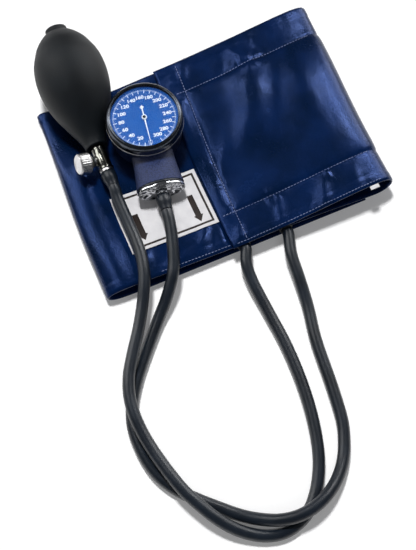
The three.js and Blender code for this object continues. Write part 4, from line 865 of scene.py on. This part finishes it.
# The flutes begin at a share of the base's radius and run across another
flutes = {"count": 9, "depth": 0.75, "from": 0.5, "across": 0.43, "twist": 3}
rimRings = [(0.8, -3), (0.3, -2.85), (0, -2.4), (0, -0.5), (0.2, -0.12), (0.55, 0), (1, -0.15)]
baseCap = loftedPiece([
    (2.9, 2.9, -3), *[(baseWide - inset, baseHigh - inset, height) for inset, height in rimRings],
    (baseWide - 1.5, baseHigh - 1.4, -0.8), (baseWide - 2.4, baseHigh - 2.0, -1.5), (12.4, 8.6, -1.9),
    (10.2, 7.6, -2.0), (8.4, 6.9, -1.6), (7.2, 6.5, -0.7), (6.6, 6.2, -0.15), (6.1, 5.9, 0), (2.9, 2.9, 0),
    (2.9, 2.9, -3),
], sides=96, smooth=50)
for vertex in baseCap.data.vertices:
    x, y, z = (1000 * value for value in vertex.co)
    radius, turn = math.hypot(x / baseWide, y / baseHigh), math.atan2(y / baseHigh, x / baseWide)
    share = (radius - flutes["from"]) / flutes["across"]
    if z > -2.2 and 0 < share < 1:
        flute = flutes["depth"] * math.cos(flutes["count"] * turn + flutes["twist"] * radius)
        vertex.co.z += mm(flute * math.sin(math.pi * share))
settle(baseCap, stemPlace @ Matrix.Translation((0, 0, mm(gauge["length"]))))
finishPiece(baseCap, "gauge_base", "chrome", nodes=("base_cap",))

nutCorner = 5.196  # the nut is 9 mm across its flats
nut = loftedPiece([
    (1.2, 47.4), (2.6, 47.4), (2.6, 50.3), (nutCorner, 50.3), (nutCorner, 52.9), (2.6, 52.9), (2.6, 61.9),
    (1.2, 61.9), (1.2, 47.4),
], sides=6, at=stemPlace, smooth=20, bevelWidth=0.25)
finishPiece(nut, "gauge_barb", "chrome", nodes=("hose_barb",))


# Rubber sleeve that grips a barb: a rounded collar that tapers to the hose
def makeSleeve(name, node, start, at):
    piece = loftedPiece(ringsFrom(0, start, [
        (2.9, 0), (4.6, 0), (5.15, 0.35), (5.4, 1), (5.4, 4.8), (5.2, 6), (4.75, 7.6), (4.45, 9.2),
        (4.3, 10.6), (4.25, 11), (2.9, 11), (2.9, 0),
    ]), sides=48, at=at, smooth=50)
    finishPiece(piece, name, "hose_rubber", nodes=(node,))


makeSleeve("gauge_sleeve", "gauge_hose_sleeve", 53.2, stemPlace)

marks = {
    "sweep": 338.4, "full": 300, "long": (19.6, 22.3, 0.5), "short": (21.2, 22.3, 0.22), "print": 0.1,
    "numberRadius": 16.4, "numberSize": 3.6, "numberWidth": 1.15, "numberWeight": 0.12,
    "numberHalf": 0.04, "numberLift": 0.06,  # half its thickness, and its middle's height
    "zeroHalf": 1.2, "zeroBars": (-18.6, -20.9), "zeroSides": -18.5, "zeroLine": 0.26,
}


def dialTurn(pressure):
    return math.radians(-90 - marks["sweep"] / marks["full"] * pressure)  # from +X in the gauge's frame


# One tick: a printed bar along +X, from its inner to its outer radius, with rounded print edges
def modelTick(inner, outer, wide):
    bpy.ops.mesh.primitive_cube_add(size=1, location=(0, 0, 0))
    tick = bpy.context.object
    tick.name = "tick"
    tick.scale = (mm(outer - inner), mm(wide), mm(marks["print"]))
    tick.location = (mm((inner + outer) / 2), 0, mm(dialTop + marks["print"] / 2))
    settle(tick)
    roundEdges(tick, 0.03, 1)
    return tick


def dialNumber(pressure):
    bpy.ops.object.text_add(location=(0, 0, 0))
    text = bpy.context.object.data
    text.body = str(pressure)
    text.align_x = text.align_y = "CENTER"
    text.size = mm(marks["numberSize"])
    text.offset = mm(marks["numberWeight"])
    text.extrude = mm(marks["numberHalf"])
    text.resolution_u = 3
    bpy.ops.object.convert(target="MESH")
    number = bpy.context.object
    number.scale.x = marks["numberWidth"]
    turn, radius = dialTurn(pressure), mm(marks["numberRadius"])
    number.location = (radius * math.cos(turn), radius * math.sin(turn), mm(dialTop + marks["numberLift"]))
    settle(number)
    return number


def turnedTo(pressure):
    return Matrix.Rotation(dialTurn(pressure), 4, "Z")


longTicks = repeated(modelTick(*marks["long"]), [turnedTo(p) for p in range(0, 301, 10)])
shortTicks = repeated(modelTick(*marks["short"]), [turnedTo(p) for p in range(0, 301, 2) if p % 10])
# A small box marks the zero band
zeroHalf, zeroSides = mm(marks["zeroHalf"]), mm(marks["zeroSides"])
zeroBox = repeated(modelTick(0, 2 * marks["zeroHalf"], marks["zeroLine"]), [
    *[Matrix.Translation((-zeroHalf, mm(y), 0)) for y in marks["zeroBars"]],
    *[Matrix.Translation((x, zeroSides, 0)) @ rotation(-90, "Z") for x in (-zeroHalf, zeroHalf)],
])
dialMarks = joinPieces(longTicks, shortTicks, zeroBox, *[dialNumber(p) for p in range(20, 301, 20)])
settle(dialMarks, gaugePlace)
finishPiece(dialMarks, "dial_marks", "white_enamel")

# Pivot cap in the middle of the pointer's hub
pivot = loftedPiece([
    (1.15, 42.85), (1.15, 43.0), (0.95, 43.12), (0.5, 43.2), (0.15, 43.22),
], sides=32, at=gaugePlace, smooth=60)
finishPiece(pivot, "pointer_pivot", "dark_chrome", body="pointer")
print("gauge made")

bulb = {
    "start": (-113.4, 80.8, 38.1), "mouth": (-81.2, -8.6, 22.4), "wall": 2.4, "bend": 20,
    "aim": 12, "handles": (8, 7),  # its body points there, short of the mouth; reach of the bend's ends
    "cavity": (3.4, 92), "bore": 5.0, "socket": 3.9,
    # distance from the collar's face and radius
    "profile": [
        (0, 7.2), (0.5, 7.75), (1.3, 7.95), (3.2, 7.95), (3.8, 8.2), (4.6, 10), (8.2, 14.2), (13.2, 18.4),
        (18.8, 21.4), (25.4, 24.2), (33, 25.7), (40.4, 26.1), (48, 25.6), (56.4, 24), (64.8, 21.2),
        (72.2, 17.8), (78.6, 14), (83.4, 11.2), (88, 9.2), (91.6, 8.4), (93.4, 8.3), (94, 8.0),
    ],
}
valve = {
    "gap": 0.3, "turn": 23, "knobTilt": 20, "knobPlace": 10.2, "knurls": 30, "knurled": (10.7, 17.9),
    "knurlDepth": 0.05,  # share of the radius
}
valveTurn = math.radians(valve["turn"])
valveDir = Vector((math.sin(valveTurn), -math.cos(valveTurn), 0))
bulbStart, bulbMouth = Vector(bulb["start"]), Vector(bulb["mouth"])
bulbAxis = (bulbMouth - bulb["aim"] * valveDir - bulbStart).normalized()
bulbLength = bulb["profile"][-1][0]
straight = bulbLength - bulb["bend"]
bendStart = bulbStart + bulbAxis * straight
firstReach, lastReach = bulb["handles"]
bendHandles = (bendStart, bendStart + firstReach * bulbAxis, bulbMouth - lastReach * valveDir, bulbMouth)


# Where the bulb's middle line is at a distance from the collar, and its direction there
def bulbLine(distance):
    if distance <= straight:
        return bulbStart + bulbAxis * distance, bulbAxis
    t = min((distance - straight) / bulb["bend"], 1)
    a, b, c, d = bendHandles
    s = 1 - t
    where = a * s ** 3 + 3 * b * s * s * t + 3 * c * s * t * t + d * t ** 3
    way = (3 * (b - a) * s * s + 6 * (c - b) * s * t + 3 * (d - c) * t * t).normalized()
    return where, way


# Rings of the bulb, four for each stretch of its profile, on a smooth curve
def bulbRows(profile, steps=4):
    guides = padded([Vector(point) for point in profile])
    rows = [
        curveBetween(*four, k / steps)
        for four in zip(guides, guides[1:], guides[2:], guides[3:]) for k in range(steps)]
    return [(radius, distance) for distance, radius in [*rows, profile[-1]]]


outerRows = bulbRows(bulb["profile"])
innerRows = [
    (max(radius - bulb["wall"], bulb["bore"]), distance) for radius, distance in outerRows
    if bulb["cavity"][0] < distance < bulb["cavity"][1]]
innerRows = [(bulb["bore"], 0.0), *innerRows, (bulb["socket"], bulbLength)]
bulbPiece = loftedPiece([*outerRows, *reversed(innerRows), outerRows[0]], sides=72, smooth=50)
side = bulbAxis.cross(Vector((0, 0, 1))).normalized()
for vertex in bulbPiece.data.vertices:
    where, way = bulbLine(vertex.co.z * 1000)
    across = (side - way * side.dot(way)).normalized()
    upward = across.cross(way)
    vertex.co = place(*(where + across * vertex.co.x * 1000 + upward * vertex.co.y * 1000))
pointNormalsOut(bulbPiece)
finishPiece(bulbPiece, "bulb", "bulb_rubber", nodes=("bulb",))

knobTilt = math.radians(valve["knobTilt"])
knobDir = Vector((valveDir.y, -valveDir.x, 0)) * math.cos(knobTilt) + Vector((0, 0, math.sin(knobTilt)))
valveBasis = Matrix((knobDir, valveDir.cross(knobDir), valveDir)).transposed().to_4x4()
valvePlace = Matrix.Translation(place(*(bulbMouth + valve["gap"] * valveDir))) @ valveBasis
knobPlace = valvePlace @ Matrix.Translation((0, 0, mm(valve["knobPlace"]))) @ rotation(90, "Y")

valveBody = loftedPiece([
    (1.9, -9), (3, -9), (3, -0.1), (5.0, 0.05), (5.2, 0.3), (5.2, 2.2), (4.95, 2.5), (4.95, 3.1), (5.2, 3.4),
    (5.2, 16.6), (5.35, 16.9), (5.6, 17), (5.7, 17.15), (5.7, 18.3), (5.5, 18.5), (1.9, 18.5), (1.9, -9),
], sides=64, at=valvePlace, smooth=30)
boss = loftedPiece([
    (1.6, 4.4), (3.8, 4.4), (3.8, 5.6), (3.55, 5.9), (1.6, 5.9), (1.6, 4.4),
], sides=48, at=knobPlace, smooth=30)
joinPieces(valveBody, boss)
finishPiece(valveBody, "valve_body", "chrome", nodes=("valve_body",), material="nickel")
makeSleeve("bulb_sleeve", "bulb_hose_sleeve", 20.9, valvePlace)

knob = loftedPiece([
    (0.6, 7.3), (3.0, 7.3), (3.4, 7.5), (6.6, 10.1), (6.9, 10.4), (7.2, 10.5), (7.55, 10.85), (7.55, 17.7),
    (7.2, 18.2), (6.9, 18.3), (6.75, 18.7), (6.5, 18.9), (5.6, 18.9), (5.4, 18.75), (0.4, 18.75),
], sides=4 * valve["knurls"], smooth=25)
for vertex in knob.data.vertices:
    if valve["knurled"][0] < vertex.co.z * 1000 < valve["knurled"][1]:
        turn = math.atan2(vertex.co.y, vertex.co.x)
        depth = valve["knurlDepth"] * (0.5 - 0.5 * math.cos(turn * valve["knurls"]))
        vertex.co.x *= 1 - depth
        vertex.co.y *= 1 - depth
screw = loftedPiece([(0.6, 2.2), (1.3, 3.4), (1.3, 7.5), (0.6, 7.5)], sides=24)
joinPieces(knob, screw)
settle(knob, knobPlace)
finishPiece(knob, "release_knob", "satin_chrome", body="release_knob", nodes=("release_knob",))
print("bulb and valve made")

label = {
    "along": -50.3, "across": -32.3, "length": 64.5, "width": 46, "thickness": 0.5, "lift": 0.3,
    "inset": 2.4, "line": 1.5,  # of the printed border
    "print": (0.08, -0.05),  # its face and its underside, from the label's face
    "wave": 0.28, "waveReach": (8, 24),  # height, and how far out its waves begin and are full
}
# Printed arrows: place along the cuff, start, neck and tip across it, half widths of shaft and head
arrows = [(-70.3, -26.7, -43.6, -48.4, 2.2, 3.4), (-29.2, -27.7, -44.6, -50.0, 2.1, 3.4)]


def labelPoint(along, across, lift):
    # the label lies flat in its middle and in shallow waves toward its long edges
    out = np.abs(across - label["across"])
    wave = label["wave"] * np.sin(along / 7.5 + 0.05 * across) * smoothStep(out, *label["waveReach"])
    return skinPoint(spanOf(along, middleLayerWide), across, 1, label["lift"] + lift + np.maximum(wave, -0.1))


left, right = label["along"] - label["length"] / 2, label["along"] + label["length"] / 2
lower, upper = label["across"] - label["width"] / 2, label["across"] + label["width"] / 2
labelGrid = np.meshgrid(np.linspace(left, right, 60), np.linspace(lower, upper, 40), indexing="ij")
labelPiece = gridMesh("artery_label", [labelPoint(*labelGrid, lift) for lift in (label["thickness"], 0)])
onlySelect(labelPiece)
bpy.ops.object.shade_smooth_by_angle(angle=math.radians(40))
finishPiece(labelPiece, "artery_label", "printed_label", nodes=("artery_label",))


# A flat printed shape between four corners, each (along, across), on top of the label
def printedShape(corners, steps):
    a, b, c, d = (np.array(p, float) for p in corners)
    s, t = np.meshgrid(np.linspace(0, 1, steps[0]), np.linspace(0, 1, steps[1]), indexing="ij")
    s, t = s[..., None], t[..., None]
    flat = a * (1 - s) * (1 - t) + b * s * (1 - t) + c * s * t + d * (1 - s) * t
    skins = [labelPoint(flat[..., 0], flat[..., 1], label["thickness"] + lift) for lift in label["print"]]
    return gridMesh("print", skins)


def printedBar(x0, y0, x1, y1, steps):
    return printedShape([(x0, y0), (x1, y0), (x1, y1), (x0, y1)], steps)


def printedArrow(along, top, neckAt, tip, shaft, head):
    corners = [(along - head, neckAt), (along + head, neckAt), (along + 0.05, tip), (along - 0.05, tip)]
    return [printedBar(along - shaft, top, along + shaft, neckAt, (4, 20)), printedShape(corners, (4, 8))]


inset, line = label["inset"], label["line"]
x0, y0, x1, y1 = left + inset, lower + inset, right - inset, upper - inset
prints = [
    printedBar(x0, y1 - line, x1, y1, (56, 3)), printedBar(x0, y0, x1, y0 + line, (56, 3)),
    printedBar(x0, y0, x0 + line, y1, (3, 40)), printedBar(x1 - line, y0, x1, y1, (3, 40)),
]
for arrow in arrows:
    prints += printedArrow(*arrow)
labelPrint = joinPieces(*prints)
finishPiece(labelPrint, "label_print", "printed_label", material="label_ink")
print("label made")

# The solids that stay get the finish that their slot names
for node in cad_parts.values():
    for holder in node.material_slots:
        named = [slot for slot in finishes if holder.material and holder.material.name.startswith(slot)]
        holder.material = finishes[max(named, key=len) if named else "steel"]

bpy.ops.mesh.primitive_plane_add(size=6, location=(0, 0, -0.0002))
floor = bpy.context.object
floor.name = "white_table"


# Matt white paper: it shows white to the camera and in reflections, and keeps the set's shadow
def whitePaper(glow):
    add, shader = newMaterial("paper", "matt_white_paper", {
        "Base Color": "#f2f2f2", "Roughness": 0.9, "Emission Color": "#ffffff"})[:2]
    rays = add("LightPath").outputs
    seen = add("Math", {0: rays["Is Camera Ray"], 1: rays["Is Glossy Ray"]}, operation="MAXIMUM")
    seen = add("Math", {0: seen, 1: rays["Is Transmission Ray"]}, operation="MAXIMUM")
    feed(shader, {"Emission Strength": add("Math", {0: seen, 1: glow}, operation="MULTIPLY")})


whitePaper(0.13)
floor.data.materials.append(finishes["paper"])

world = bpy.data.worlds.new("studio")
bpy.context.scene.world = world
world.use_nodes = True
feed(world.node_tree.nodes["Background"], {"Color": "#f4f7ff", "Strength": 0.08})


def softbox(name, where, width, depth, power, glossy=True, diffuse=True):
    data = bpy.data.lights.new(name, "AREA")
    data.shape = "RECTANGLE"
    data.size, data.size_y = width, depth
    data.energy = power
    lamp = addObject(name, data)
    lamp.location = where
    lamp.rotation_euler = (lampTarget - Vector(where)).to_track_quat("-Z", "Y").to_euler()
    lamp.visible_glossy = glossy
    lamp.visible_diffuse = diffuse
    lamp.visible_transmission = False


lampTarget = Vector((0, -0.05, 0))
softbox("main_back", (-0.2, 0.5, 1.94), 0.26, 0.26, 40.5, glossy=False)
softbox("fill_front", (0.2, -1.2, 1.4), 1.6, 1.2, 5, glossy=False)
softbox("strip_right", (0.78, 0.81, 0.65), 0.5, 1.1, 8, diffuse=False)
softbox("strip_left", (-0.78, 0.28, 0.65), 0.35, 1.2, 5, diffuse=False)
softbox("sheen_right", (0.42, 0.87, 1.15), 0.26, 0.22, 4, diffuse=False)
softbox("sheen_left", (-0.58, 0.78, 1.13), 0.3, 0.2, 1.6, diffuse=False)
print("table and lights made")
